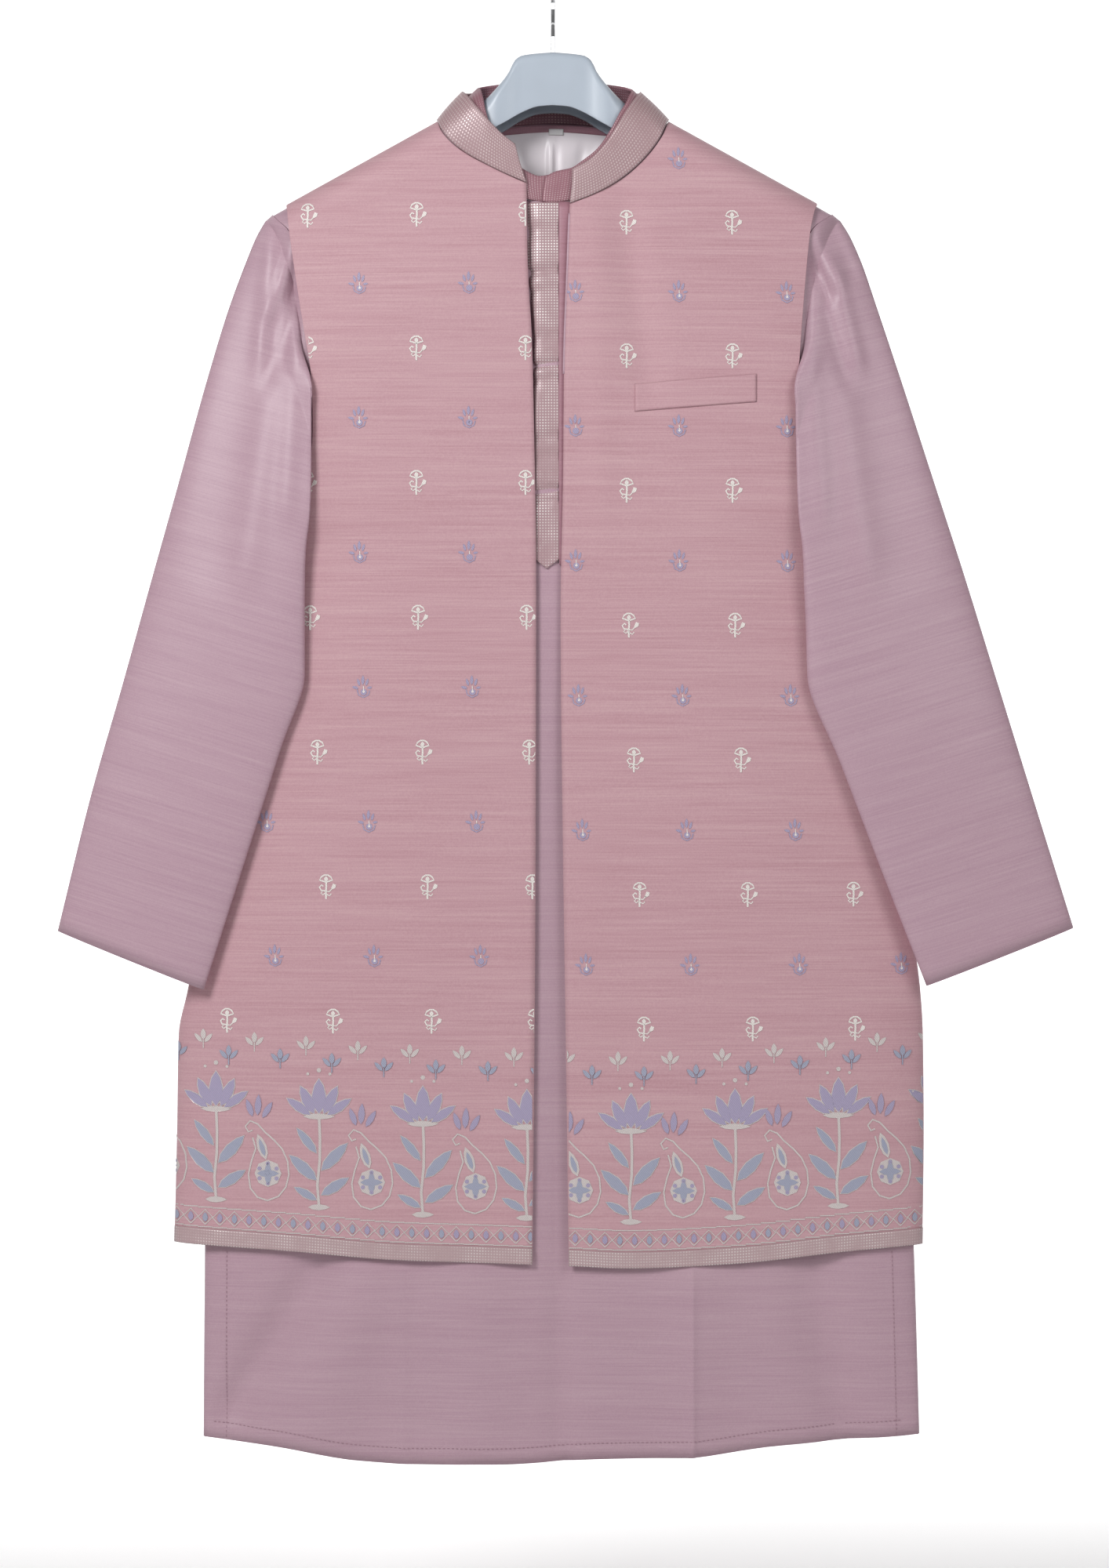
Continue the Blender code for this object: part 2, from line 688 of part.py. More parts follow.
def build_jacket_body(collection):
    finish = material("jacket brocade", JACKET_CLOTH, 0.6)
    for name, side in (("right", -1), ("left", 1)):
        opening, neckline = jacket_openings[side], jacket_necklines[side]
        start = abs(opening(KURTA_NECKLINE[0].z))
        full = jacket_width(side, KURTA_NECKLINE[0].z)
        neck_share = (JACKET_NECK - start) / (full - start)
        columns = half_columns(neck_share)

        def across(share, z):
            return blend(opening(z), side * jacket_width(side, z), share)

        def top(x):
            return neckline(abs(x)) if abs(x) < JACKET_NECK else ridge(x)

        rows = panel_rows(columns, across, top, JACKET_UNDERARM, jacket_hem, jacket_front)
        cloth_wall(f"jacket_front_{name}", rows, JACKET_WALL, finish, collection, outward=-side)

    half = half_columns(JACKET_NECK / jacket_width(-1, KURTA_NECKLINE[0].z))
    columns = [-share for share in reversed(half[1:])] + half

    def back_across(share, z):
        return share * jacket_width(side_of(share), z)

    def back_top(x):
        return back_neckline(x, JACKET_NECK, 0.0)

    rows = panel_rows(columns, back_across, back_top, JACKET_UNDERARM, jacket_hem, jacket_back)
    cloth_wall("jacket_back", rows, JACKET_WALL, finish, collection)


def collar_rows(stations):
    """Rows from a collar's base to its top edge. Each station is a base point and a top point."""
    rows = []
    for share in COLLAR_ROWS:
        row = []
        for base, top in stations:
            point = base.lerp(top, share)
            away = Vector((point.x, point.y, 0)).normalized()
            row.append(point + away * COLLAR_BELLY * math.sin(math.pi * share))
        rows.append(row)
    return rows


def collar_station(stand, side, start, neck, surface, neckline):
    """A station's base, just clear of the panel's edge, and its top."""
    x = side * blend(start, neck, stand.share)
    base = surface(x * COLLAR_INSET, neckline(x)) + Vector((0, 0, SEAM_GAP))
    return base, Vector((side * stand.top_x, stand.top_y, stand.top_z))


def collar_back(stands, neck, under_ridge, surface):
    """Stations round the back of a neck, from the wearer's right to the left."""

    def neckline(x):
        return back_neckline(x, neck, under_ridge)

    right = [collar_station(stand, -1, 0.0, neck, surface, neckline) for stand in reversed(stands)]
    left = [collar_station(stand, 1, 0.0, neck, surface, neckline) for stand in stands[1:]]
    return right + left


def build_jacket_collar(collection):
    finish = material("zari check", COLLAR_CLOTH, 0.5)
    fronts = {}
    for side, stands in ((-1, JACKET_STAND_RIGHT), (1, JACKET_STAND_LEFT)):
        start = abs(jacket_openings[side](KURTA_NECKLINE[0].z))

        def neckline(x):
            return jacket_necklines[side](abs(x))

        fronts[side] = [
            collar_station(stand, side, start, JACKET_NECK, jacket_front, neckline) for stand in stands
        ]
    back = collar_back(JACKET_STAND_BACK, JACKET_NECK, 0.0, jacket_back)
    stations = fronts[-1] + back + fronts[1][::-1]
    cloth_wall("jacket_collar", collar_rows(stations), COLLAR_WALL, finish, collection, outward=-1)


def build_kurta_collar(collection):
    finish = material("zari check, dark", KURTA_COLLAR_CLOTH, 0.5)

    def neckline(x):
        return kurta_neckline(abs(x))

    fronts = {}
    for side, stands in ((-1, KURTA_STAND_RIGHT), (1, KURTA_STAND_LEFT)):
        fronts[side] = [
            collar_station(stand, side, 0.0, KURTA_NECK, kurta_front, neckline) for stand in stands
        ]
    for base, _ in fronts[-1]:
        base.y += UNDER_END_TUCK * ease((base.x + 24) / 12)
    back = collar_back(KURTA_STAND_BACK, KURTA_NECK, OVER_KURTA, kurta_back)
    stations = fronts[-1] + back + fronts[1][::-1]
    cloth_wall("kurta_collar", collar_rows(stations), COLLAR_WALL, finish, collection, outward=-1)


def build_placket(collection):
    """The band down the kurta's front opening, with a pointed end."""
    finish = material("zari check, dark", KURTA_COLLAR_CLOTH, 0.5)
    middle = (PLACKET_LEFT_X + PLACKET_RIGHT_X) / 2
    steps = 12
    rows = []
    for i in range(steps + 1):
        row = []
        for x in (PLACKET_RIGHT_X, middle, PLACKET_LEFT_X):
            end = PLACKET_TIP_Z if x == middle else PLACKET_CORNER_Z
            z = blend(PLACKET_TOP_Z, end, i / steps)
            row.append(moved_out(kurta_front, x, z, LAY_GAP + TRIM_WALL))
        rows.append(row)
    cloth_wall("kurta_placket", rows, TRIM_WALL, finish, collection, outward=-1)


def build_neck_facing(collection):
    """The lining that shows inside the back of the neck, with a blank label on its top edge."""
    finish = material("lining satin", SATIN, 0.35)
    rows = []
    for down in (0.0, 0.2, 0.45, 0.7, 0.88, 1.0):
        row = []
        for i in range(-5, 6):
            x = FACING_HALF_WIDTH * i / 5
            top = back_neckline(x, KURTA_NECK, OVER_KURTA) - 1.0
            depth = FACING_DROP * math.sqrt(1 - 0.72 * (i / 5) ** 2)
            row.append(moved_out(kurta_back, x, top - depth * down, -(KURTA_WALL + FACING_GAP)))
        rows.append(row)
    cloth_wall("kurta_neck_facing", rows, TRIM_WALL, finish, collection)
    rows = []
    inside = KURTA_WALL + FACING_GAP + TRIM_WALL + LAY_GAP
    for z_share in (0.0, 1.0):
        row = []
        for x in (LABEL_X - LABEL_WIDTH / 2, LABEL_X, LABEL_X + LABEL_WIDTH / 2):
            z = back_neckline(x, KURTA_NECK, OVER_KURTA) - 2.0 - LABEL_HEIGHT * z_share
            row.append(moved_out(kurta_back, x, z, -inside))
        rows.append(row)
    cloth_wall("kurta_neck_label", rows, 0.8, material("label satin", WHITE, 0.4), collection)


def build_welt(collection):
    finish = material("jacket brocade", JACKET_CLOTH, 0.6)
    rows = []
    for up in (1.0, 0.5, 0.0):
        row = []
        for i in range(7):
            x = WELT_CORNER[0] + WELT_WIDTH * i / 6
            z = WELT_CORNER[1] + WELT_RISE * i / 6 + WELT_HEIGHT * up
            row.append(moved_out(jacket_front, x, z, LAY_GAP + TRIM_WALL))
        rows.append(row)
    cloth_wall("jacket_pocket_welt", rows, TRIM_WALL, finish, collection, outward=-1)


def tape_rows(columns, across, surface):
    rows = []
    for up in (1.0, 0.0):
        row = []
        for share in columns:
            hem = jacket_hem(across(share, jacket_hem(0.0)))
            z = hem + TAPE_HEIGHT * up + (0.0 if up else 0.2)
            row.append(moved_out(surface, across(share, z), z, LAY_GAP + TRIM_WALL))
        rows.append(row)
    return rows


def build_hem_tapes(collection):
    finish = material("hem tape", TAPE_CLOTH, 0.45)
    side_share = 0.996  # the tapes stop just short of the side seams
    for name, side in (("right", -1), ("left", 1)):
        opening = jacket_openings[side]
        start = abs(opening(KURTA_NECKLINE[0].z))
        full = jacket_width(side, KURTA_NECKLINE[0].z)
        columns = half_columns((JACKET_NECK - start) / (full - start))
        columns[-1] = side_share

        def across(share, z):
            return blend(opening(z), side * jacket_width(side, z), share)

        rows = tape_rows(columns, across, jacket_front)
        cloth_wall(f"jacket_hem_tape_{name}", rows, TRIM_WALL, finish, collection, outward=-side)
    half = half_columns(JACKET_NECK / jacket_width(-1, KURTA_NECKLINE[0].z))
    half[-1] = side_share
    columns = [-share for share in reversed(half[1:])] + half

    def back_across(share, z):
        return share * jacket_width(side_of(share), z)

    rows = tape_rows(columns, back_across, jacket_back)
    cloth_wall("jacket_hem_tape_back", rows, TRIM_WALL, finish, collection)


def hanger_section(x, row):
    """The hanger's channel at x, from its front lower edge over the top to the rear one."""
    radius = min(row.round_radius, row.half_depth - 0.5)
    points = [Vector((x, -row.half_depth, row.bottom))]
    for i in range(HANGER_ARC_STEPS + 1):
        angle = math.pi / 2 * i / HANGER_ARC_STEPS
        y = -row.half_depth + radius * (1 - math.cos(angle))
        points.append(Vector((x, y, row.top - radius * (1 - math.sin(angle)))))
    points += [Vector((x, -p.y, p.z)) for p in reversed(points)]
    return points


def build_hanger(collection):
    finish = material("hanger plastic", HANGER_PLASTIC, 0.35)
    half = list(HANGER_HEAD)
    for arm in HANGER_ARM:
        top = ridge(arm.x) - HANGER_UNDER_RIDGE
        half.append(HangerRow(arm.x, top, top - arm.height, arm.half_depth, 20.0))
    rows = [hanger_section(-row.x, row) for row in reversed(half)]
    rows += [hanger_section(row.x, row) for row in half[1:]]
    cloth_wall("hanger", rows, HANGER_WALL, finish, collection, outward=-1)


def build_hook(collection):
    """The hanger's wire hook, turned so that its bend lies front to back. Its bend's inside is the
    origin, and its foot stands on the hanger's head."""
    radius = HOOK_INNER + HOOK_WIRE
    middle_z = -HOOK_INNER
    path = [(0.0, HOOK_FOOT), (0.0, HOOK_FOOT + 8), (0.0, middle_z - radius - 9), (2.0, middle_z - radius - 3)]
    start, turn = math.radians(-68), math.radians(262)
    for i in range(HOOK_STEPS + 1):
        angle = start + turn * i / HOOK_STEPS
        path.append((radius * math.cos(angle), middle_z + radius * math.sin(angle)))
    curve = bpy.data.curves.new("hanger_hook", "CURVE")
    curve.dimensions = "3D"
    curve.bevel_depth = HOOK_WIRE * MM
    curve.bevel_resolution = 2
    curve.use_fill_caps = True
    spline = curve.splines.new("POLY")
    spline.points.add(len(path) - 1)
    for point, (y, z) in zip(spline.points, path):
        point.co = (*place(0.0, y, z), 1.0)
    add_object("hanger_hook", curve, material("hook steel", STEEL, 0.3, 1.0), collection)


def main():
    for old in list(bpy.data.objects):
        bpy.data.objects.remove(old, do_unlink=True)
    collection = bpy.data.collections.new("kurta and jacket on a hanger")
    bpy.context.scene.collection.children.link(collection)
    build_kurta_body(collection)
    build_sleeves(collection)
    build_kurta_collar(collection)
    build_placket(collection)
    build_neck_facing(collection)
    build_jacket_body(collection)
    build_jacket_collar(collection)
    build_welt(collection)
    build_hem_tapes(collection)
    build_hanger(collection)
    build_hook(collection)


main()
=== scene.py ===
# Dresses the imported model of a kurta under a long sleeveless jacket, both on one plastic hanger.
# Tables are in millimetres. X runs to the wearer's left, Y to the back and Z up from the hook's bend.
import math
from bisect import bisect_right

import bmesh
import bpy
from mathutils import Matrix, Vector, noise


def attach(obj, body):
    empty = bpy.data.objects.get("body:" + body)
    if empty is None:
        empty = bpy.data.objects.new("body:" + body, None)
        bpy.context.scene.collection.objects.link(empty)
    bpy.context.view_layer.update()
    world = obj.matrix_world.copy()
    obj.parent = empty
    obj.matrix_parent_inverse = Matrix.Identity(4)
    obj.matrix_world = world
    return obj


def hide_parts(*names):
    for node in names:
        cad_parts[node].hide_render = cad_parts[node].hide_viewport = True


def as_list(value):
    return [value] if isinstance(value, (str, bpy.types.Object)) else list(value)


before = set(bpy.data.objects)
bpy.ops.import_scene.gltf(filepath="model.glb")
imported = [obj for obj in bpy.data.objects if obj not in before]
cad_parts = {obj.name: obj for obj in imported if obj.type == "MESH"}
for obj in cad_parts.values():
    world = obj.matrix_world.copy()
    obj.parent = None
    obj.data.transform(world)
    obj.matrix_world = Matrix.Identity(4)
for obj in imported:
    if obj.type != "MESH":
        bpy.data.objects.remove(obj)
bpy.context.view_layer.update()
mm = 0.001


# Small helpers for curves and colours

def smoothCurve(points):
    # runs through every (place, value) and never overshoots
    points = sorted(points)
    places = [p for p, _ in points]
    values = [v for _, v in points]
    slopes = [(values[i + 1] - values[i]) / (places[i + 1] - places[i]) for i in range(len(points) - 1)]
    inner = [0.0 if a * b <= 0 else 2 * a * b / (a + b) for a, b in zip(slopes, slopes[1:])]
    tangents = [slopes[0]] + inner + [slopes[-1]]

    def at(place):
        place = min(max(place, places[0]), places[-1])
        i = min(bisect_right(places, place) - 1, len(slopes) - 1)
        span = places[i + 1] - places[i]
        t = (place - places[i]) / span
        start = (1 + 2 * t) * (1 - t) ** 2 * values[i] + t * (1 - t) ** 2 * span * tangents[i]
        end = t * t * (3 - 2 * t) * values[i + 1] + t * t * (t - 1) * span * tangents[i + 1]
        return start + end

    return at


def blend(a, b, share):
    return a + (b - a) * share


def ease(share):
    share = min(max(share, 0.0), 1.0)
    return share * share * (3 - 2 * share)


def sideOf(x):
    return -1 if x < 0 else 1


def colour(code):
    # sRGB hex to linear
    parts = [int(code[i : i + 2], 16) / 255 for i in (1, 3, 5)]
    return [p / 12.92 if p <= 0.04045 else ((p + 0.055) / 1.055) ** 2.4 for p in parts] + [1.0]


# The form of the two garments, the same as in the part's own source

body = {
    "shoulderRound": 24.0,
    "settle": 120.0,
    "neckPoint": 96.0,
    "neckPointZ": -121.2,
    "shoulderSlope": 0.552,
    "overKurta": 2.7,
    "jacketEase": 5.0,
    "backNeckDip": 20.0,
    "depth": [(-150, 26.0), (-250, 29.5), (-440, 31.0), (-700, 28.0), (-1000, 22.0), (-1220, 16.0)],
}
kurta = {
    "wall": 1.0,
    "neck": 88.0,
    "underarm": -428.0,
    "right": [(-100, 228.0), (-196, 228.0), (-228, 220.5), (-260, 213.0), (-331, 202.5), (-370, 203.0),
              (-400, 207.8), (-415, 217.0), (-424, 226.0), (-428, 232.0), (-480, 236.0), (-600, 252.0),
              (-860, 276.0), (-1000, 283.5), (-1220, 284.8)],
    "left": [(-100, 227.0), (-196, 227.0), (-228, 219.0), (-260, 211.0), (-331, 204.0), (-370, 205.0),
             (-400, 210.0), (-415, 218.5), (-424, 227.0), (-428, 232.0), (-480, 236.0), (-600, 254.0),
             (-860, 283.0), (-1000, 293.0), (-1220, 299.3)],
    # the armhole seam runs in under the jacket's edge, and the sides below it follow the widths above
    "seamRight": [(-100, 228.0), (-196, 228.0), (-199.6, 226.0), (-210, 215.3), (-218, 210.0), (-228, 206.0),
                  (-260, 199.0), (-331, 189.5), (-370, 188.5), (-400, 190.5), (-415, 200.0), (-424, 215.0),
                  (-428, 232.0), (-480, 236.0), (-600, 252.0), (-860, 276.0), (-1000, 283.5), (-1220, 284.8)],
    "seamLeft": [(-100, 227.0), (-196, 227.0), (-199, 224.5), (-207.5, 213.0), (-215, 207.5), (-228, 203.0),
                 (-260, 198.0), (-331, 192.0), (-370, 190.5), (-400, 192.0), (-415, 201.0), (-424, 215.0),
                 (-428, 232.0), (-480, 236.0), (-600, 254.0), (-860, 283.0), (-1000, 293.0), (-1220, 299.3)],
    "edgeShare": [(-196, 0.50), (-215, 0.55), (-250, 0.62), (-300, 0.62), (-380, 0.55), (-410, 0.40),
                  (-428, 0.02), (-870, 0.02), (-1040, 0.06), (-1220, 0.30)],
    "neckline": [(0, -191.0), (20, -188.0), (40, -179.0), (55, -168.5), (70, -153.5), (82, -136.4),
                 (88, -119.7)],
    "hem": [(-300, -1190.0), (-250, -1195.2), (-214, -1199.5), (-160, -1209.5), (-110, -1212.4),
            (-40, -1212.4), (30, -1208.5), (110, -1206.5), (180, -1198.0), (300, -1189.5)],
    "backHemDrop": 2.6,
    # folds: x0, z0, x1, z1, half-width, rise
    "folds": [(-186, -1045, -258, -1165, 15, -10), (-150, -1060, -205, -1200, 26, 5),
              (6, -600, 6, -1215, 9, -4), (-60, -900, -66, -1215, 32, 4),
              (114, -1040, 113, -1215, 24, 5), (205, -1010, 238, -1200, 20, -8),
              (-21, -190, -18.5, -330, 5, -5)],
    # pressed creases that the solids leave out
    "creases": [(-122, -1050, -122, -1205, 3.5, 1.9), (113, -1060, 113, -1205, 3.5, 1.9),
                (2, -490, 4, -1200, 4, 1.6), (-140, -1160, -60, -1215, 10, -1.6)],
}
jacket = {
    "wall": 1.2,
    "neck": 94.0,
    "underarm": -467.0,
    "right": [(-100, 217.0), (-188, 217.0), (-196, 215.6), (-212, 213.7), (-256, 207.3), (-298, 200.4),
              (-331, 195.3), (-370, 194.0), (-400, 195.5), (-425, 200.0), (-445, 209.0), (-457, 221.0),
              (-464, 233.0), (-467, 240.0), (-480, 242.0), (-600, 261.0), (-720, 280.0), (-827, 297.6),
              (-865, 305.3), (-942, 306.6), (-1060, 309.5)],
    "left": [(-100, 215.0), (-188, 215.0), (-196, 212.0), (-212, 208.5), (-256, 204.0), (-298, 200.5),
             (-331, 198.3), (-370, 196.5), (-400, 197.5), (-425, 202.0), (-445, 211.0), (-457, 223.0),
             (-464, 234.0), (-467, 241.0), (-480, 243.0), (-600, 262.0), (-720, 281.0), (-827, 299.5),
             (-865, 301.8), (-942, 302.5), (-1060, 301.0)],
    "edgeShare": [(-188, 0.60), (-215, 0.66), (-250, 0.70), (-390, 0.64), (-430, 0.56), (-452, 0.38),
                  (-467, 0.02), (-1060, 0.02)],
    "necklineRight": [(15, -176.5), (21.2, -174.9), (37.3, -167.9), (51.3, -161.0), (67.1, -152.7),
                      (82.3, -141.5), (90.5, -131.0), (94, -120.1)],
    "necklineLeft": [(8, -193.5), (13.3, -192.0), (28.5, -186.3), (43.7, -178.7), (59.5, -168.5),
                     (74.7, -154.0), (87.5, -137.0), (94, -120.1)],
    "openRight": [(-165, -21.4), (-218, -20.8), (-257, -19.6), (-298, -17.1), (-357, -15.5),
                  (-502, -13.5), (-724, -13.9), (-1060, -16.6)],
    "openLeft": [(-180, 14.2), (-207, 13.0), (-250, 11.4), (-322, 8.9), (-408, 8.2), (-521, 6.2),
                 (-724, 8.2), (-850, 10.1), (-1060, 12.9)],
    "hem": [(-312, -1033.2), (-215, -1038.7), (-125, -1045.7), (-60, -1047.8), (20, -1050.7),
            (60, -1052.4), (145, -1048.8), (240, -1039.3), (305, -1034.8)],
    "folds": [(58, -190, 76, -330, 15, -4.0), (32, -205, 40, -420, 13, 1.5),
              (-150, -520, -120, -980, 60, 0.9), (150, -560, 130, -980, 60, 0.9),
              (-205, -640, -240, -990, 34, -0.9), (215, -640, 240, -990, 34, -0.9),
              (-30, -700, -34, -1040, 16, 0.7), (32, -700, 36, -1040, 16, 0.7)],
}
neckLevel = -191.0  # where the panels' columns are spaced out

bodyDepth = smoothCurve(body["depth"])
kurtaWidths = {-1: smoothCurve(kurta["right"]), 1: smoothCurve(kurta["left"])}
kurtaSeams = {-1: smoothCurve(kurta["seamRight"]), 1: smoothCurve(kurta["seamLeft"])}
jacketWidths = {-1: smoothCurve(jacket["right"]), 1: smoothCurve(jacket["left"])}
kurtaEdgeShare = smoothCurve(kurta["edgeShare"])
jacketEdgeShare = smoothCurve(jacket["edgeShare"])
kurtaNeckline = smoothCurve(kurta["neckline"])
jacketNecklines = {-1: smoothCurve(jacket["necklineRight"]), 1: smoothCurve(jacket["necklineLeft"])}
jacketOpenings = {-1: smoothCurve(jacket["openRight"]), 1: smoothCurve(jacket["openLeft"])}
kurtaHem = smoothCurve(kurta["hem"])
jacketHem = smoothCurve(jacket["hem"])


def shoulderRidge(x):
    if abs(x) >= body["neckPoint"]:
        return body["neckPointZ"] - body["shoulderSlope"] * (abs(x) - body["neckPoint"])
    dome = body["shoulderSlope"] * body["neckPoint"] / 2
    return body["neckPointZ"] + dome * (1 - (x / body["neckPoint"]) ** 2)


def foldRelief(x, z, folds):
    total = 0.0
    for x0, z0, x1, z1, width, rise in folds:
        alongX, alongZ = x1 - x0, z1 - z0
        length = math.hypot(alongX, alongZ)
        along = ((x - x0) * alongX + (z - z0) * alongZ) / length**2
        beside = ((x - x0) * alongZ - (z - z0) * alongX) / length
        reach = ease(along * 3 + 0.6) * ease((1 - along) * 3 + 0.9)
        total += rise * reach * math.exp(-((beside / width) ** 2))
    return total


def ripple(x, z, seed):
    # the faint unevenness of cloth that hangs
    wide = noise.noise(Vector((x / 90, z / 210, seed)))
    small = noise.noise(Vector((x / 34, z / 60, seed + 7)))
    return 0.9 * wide + 0.3 * small


def roundedDepth(drop, radius, depth):
    drop = max(drop, 0.0)
    if drop < radius:
        return math.sqrt(radius**2 - (radius - drop) ** 2)
    return blend(radius, depth, ease((drop - radius) / body["settle"]))


def seamGap(drop):
    return blend(0.35, 0.75, ease(drop / 60))


def kurtaDepth(x, z):
    drop = shoulderRidge(x) - body["overKurta"] - z
    share = min(abs(x) / kurtaWidths[sideOf(x)](z), 1.0)
    edge = kurtaEdgeShare(z)
    form = roundedDepth(drop, body["shoulderRound"], bodyDepth(z))
    return seamGap(drop) + form * (edge + (1 - edge) * math.sqrt(1 - share**4))


def jacketDepth(x, z):
    side = sideOf(x)
    drop = shoulderRidge(x) - z
    formWidth = max(kurtaWidths[side](z) + 5.0, jacketWidths[side](z))
    share = min(abs(x) / formWidth, 1.0)
    edge = jacketEdgeShare(z)
    form = roundedDepth(drop, body["shoulderRound"] + body["overKurta"], bodyDepth(z) + body["jacketEase"])
    return seamGap(drop) + form * (edge + (1 - edge) * math.sqrt(1 - share**4))


def away(x, z, width):
    # 0 at the shoulders and the side edges, 1 well inside, so that relief never opens a seam
    return ease((shoulderRidge(x) - z - 20) / 90) * ease((width - abs(x)) / 30)


def kurtaFront(x, z):
    inside = away(x, z, kurtaWidths[sideOf(x)](z))
    low = ease((-1000 - z) / 60)
    relief = foldRelief(x, z, kurta["folds"]) + foldRelief(x, z, kurta["creases"])
    relief += inside * low * 1.2 * ripple(x, z, 3.0)
    return Vector((x, -kurtaDepth(x, z) - relief, z))


def kurtaBack(x, z):
    relief = away(x, z, kurtaWidths[sideOf(x)](z)) * ease((-1000 - z) / 60) * 1.2 * ripple(x, z, 11.0)
    return Vector((x, kurtaDepth(x, z) + relief, z))


def jacketFront(x, z):
    inside = away(x, z, jacketWidths[sideOf(x)](z))
    relief = foldRelief(x, z, jacket["folds"]) + 0.55 * ripple(x, z, 5.0)
    return Vector((x, -jacketDepth(x, z) - inside * relief, z))


def jacketBack(x, z):
    inside = away(x, z, jacketWidths[sideOf(x)](z))
    return Vector((x, jacketDepth(x, z) + inside * 0.9 * ripple(x, z, 17.0), z))


def movedOut(surface, x, z, distance):
    point = surface(x, z)
    across = surface(x + 0.5, z) - surface(x - 0.5, z)
    down = surface(x, z - 0.5) - surface(x, z + 0.5)
    normal = across.cross(down).normalized()
    if normal.y * point.y < 0:
        normal.negate()
    return point + normal * distance


def backNeckline(x, neck, underRidge):
    dip = body["backNeckDip"] * (1 - min(abs(x) / neck, 1.0) ** 3)
    return shoulderRidge(x) - underRidge - dip


# Materials

def addNode(tree, kind, settings=None, inputs=None):
    node = tree.nodes.new(kind)
    for key, value in (settings or {}).items():
        setattr(node, key, value)
    for key, value in (inputs or {}).items():
        if isinstance(value, bpy.types.NodeSocket):
            tree.links.new(value, node.inputs[key])
        else:
            node.inputs[key].default_value = value
    return node


def startMaterial(name, shaderValues):
    made = bpy.data.materials.new(name)
    made.use_nodes = True
    tree = made.node_tree
    shader = tree.nodes["Principled BSDF"]
    for key, value in shaderValues.items():
        shader.inputs[key].default_value = value
    return made, tree, shader


def bandScale(pitch):
    # a Wave texture repeats every 0.31416 / scale, here every pitch millimetres
    return 0.31416 / (pitch * mm)


weaves = {
    "slubLength": 70.0,  # how far a thick weft thread runs, in mm
    "slubHeight": 1.1,
    "bandHeight": 8.0,
    "grain": 1.2,  # real threads are about 0.3 mm wide and are drawn coarser so that they show
}


def wovenCloth(name, dark, middle, light, shaderValues, contrast, turn=0.0, bump=0.25):
    # a plain weave with slubs: thick weft threads that catch the eye as faint level streaks
    made, tree, shader = startMaterial(name, shaderValues)
    place = addNode(tree, "ShaderNodeTexCoord").outputs["Object"]
    turned = addNode(tree, "ShaderNodeMapping", None, {"Vector": place, "Rotation": (0, turn, 0)}).outputs[0]
    across = 1 / (weaves["slubLength"] * mm)
    slubPlace = addNode(tree, "ShaderNodeMapping", None,
                        {"Vector": turned, "Scale": (across, across, 1 / (weaves["slubHeight"] * mm))})
    slubs = addNode(tree, "ShaderNodeTexNoise", None,
                    {"Vector": slubPlace.outputs[0], "Scale": 1.0, "Detail": 3.0, "Roughness": 0.65})
    bandPlace = addNode(tree, "ShaderNodeMapping", None,
                        {"Vector": turned, "Scale": (across * 0.3, across, 1 / (weaves["bandHeight"] * mm))})
    bands = addNode(tree, "ShaderNodeTexNoise", None,
                    {"Vector": bandPlace.outputs[0], "Scale": 1.0, "Detail": 2.0, "Roughness": 0.5})
    grain = addNode(tree, "ShaderNodeTexNoise", None,
                    {"Vector": turned, "Scale": 1 / (weaves["grain"] * mm), "Detail": 1.0})
    mixed = addNode(tree, "ShaderNodeMath", {"operation": "MULTIPLY_ADD"},
                    {0: slubs.outputs["Fac"], 1: 0.55, 2: 0.0})
    mixed = addNode(tree, "ShaderNodeMath", {"operation": "MULTIPLY_ADD"},
                    {0: bands.outputs["Fac"], 1: 0.2, 2: mixed.outputs[0]})
    mixed = addNode(tree, "ShaderNodeMath", {"operation": "MULTIPLY_ADD"},
                    {0: grain.outputs["Fac"], 1: 0.25, 2: mixed.outputs[0]})
    ramp = addNode(tree, "ShaderNodeValToRGB", None, {"Fac": mixed.outputs[0]})
    stops = ramp.color_ramp.elements
    stops[0].position, stops[0].color = 0.5 - contrast, colour(dark)
    stops[1].position, stops[1].color = 0.5 + contrast, colour(light)
    stops.new(0.5).color = colour(middle)
    tree.links.new(ramp.outputs["Color"], shader.inputs["Base Color"])
    height = addNode(tree, "ShaderNodeBump", None,
                     {"Height": mixed.outputs[0], "Strength": bump, "Distance": 0.4 * mm})
    tree.links.new(height.outputs["Normal"], shader.inputs["Normal"])
    return made


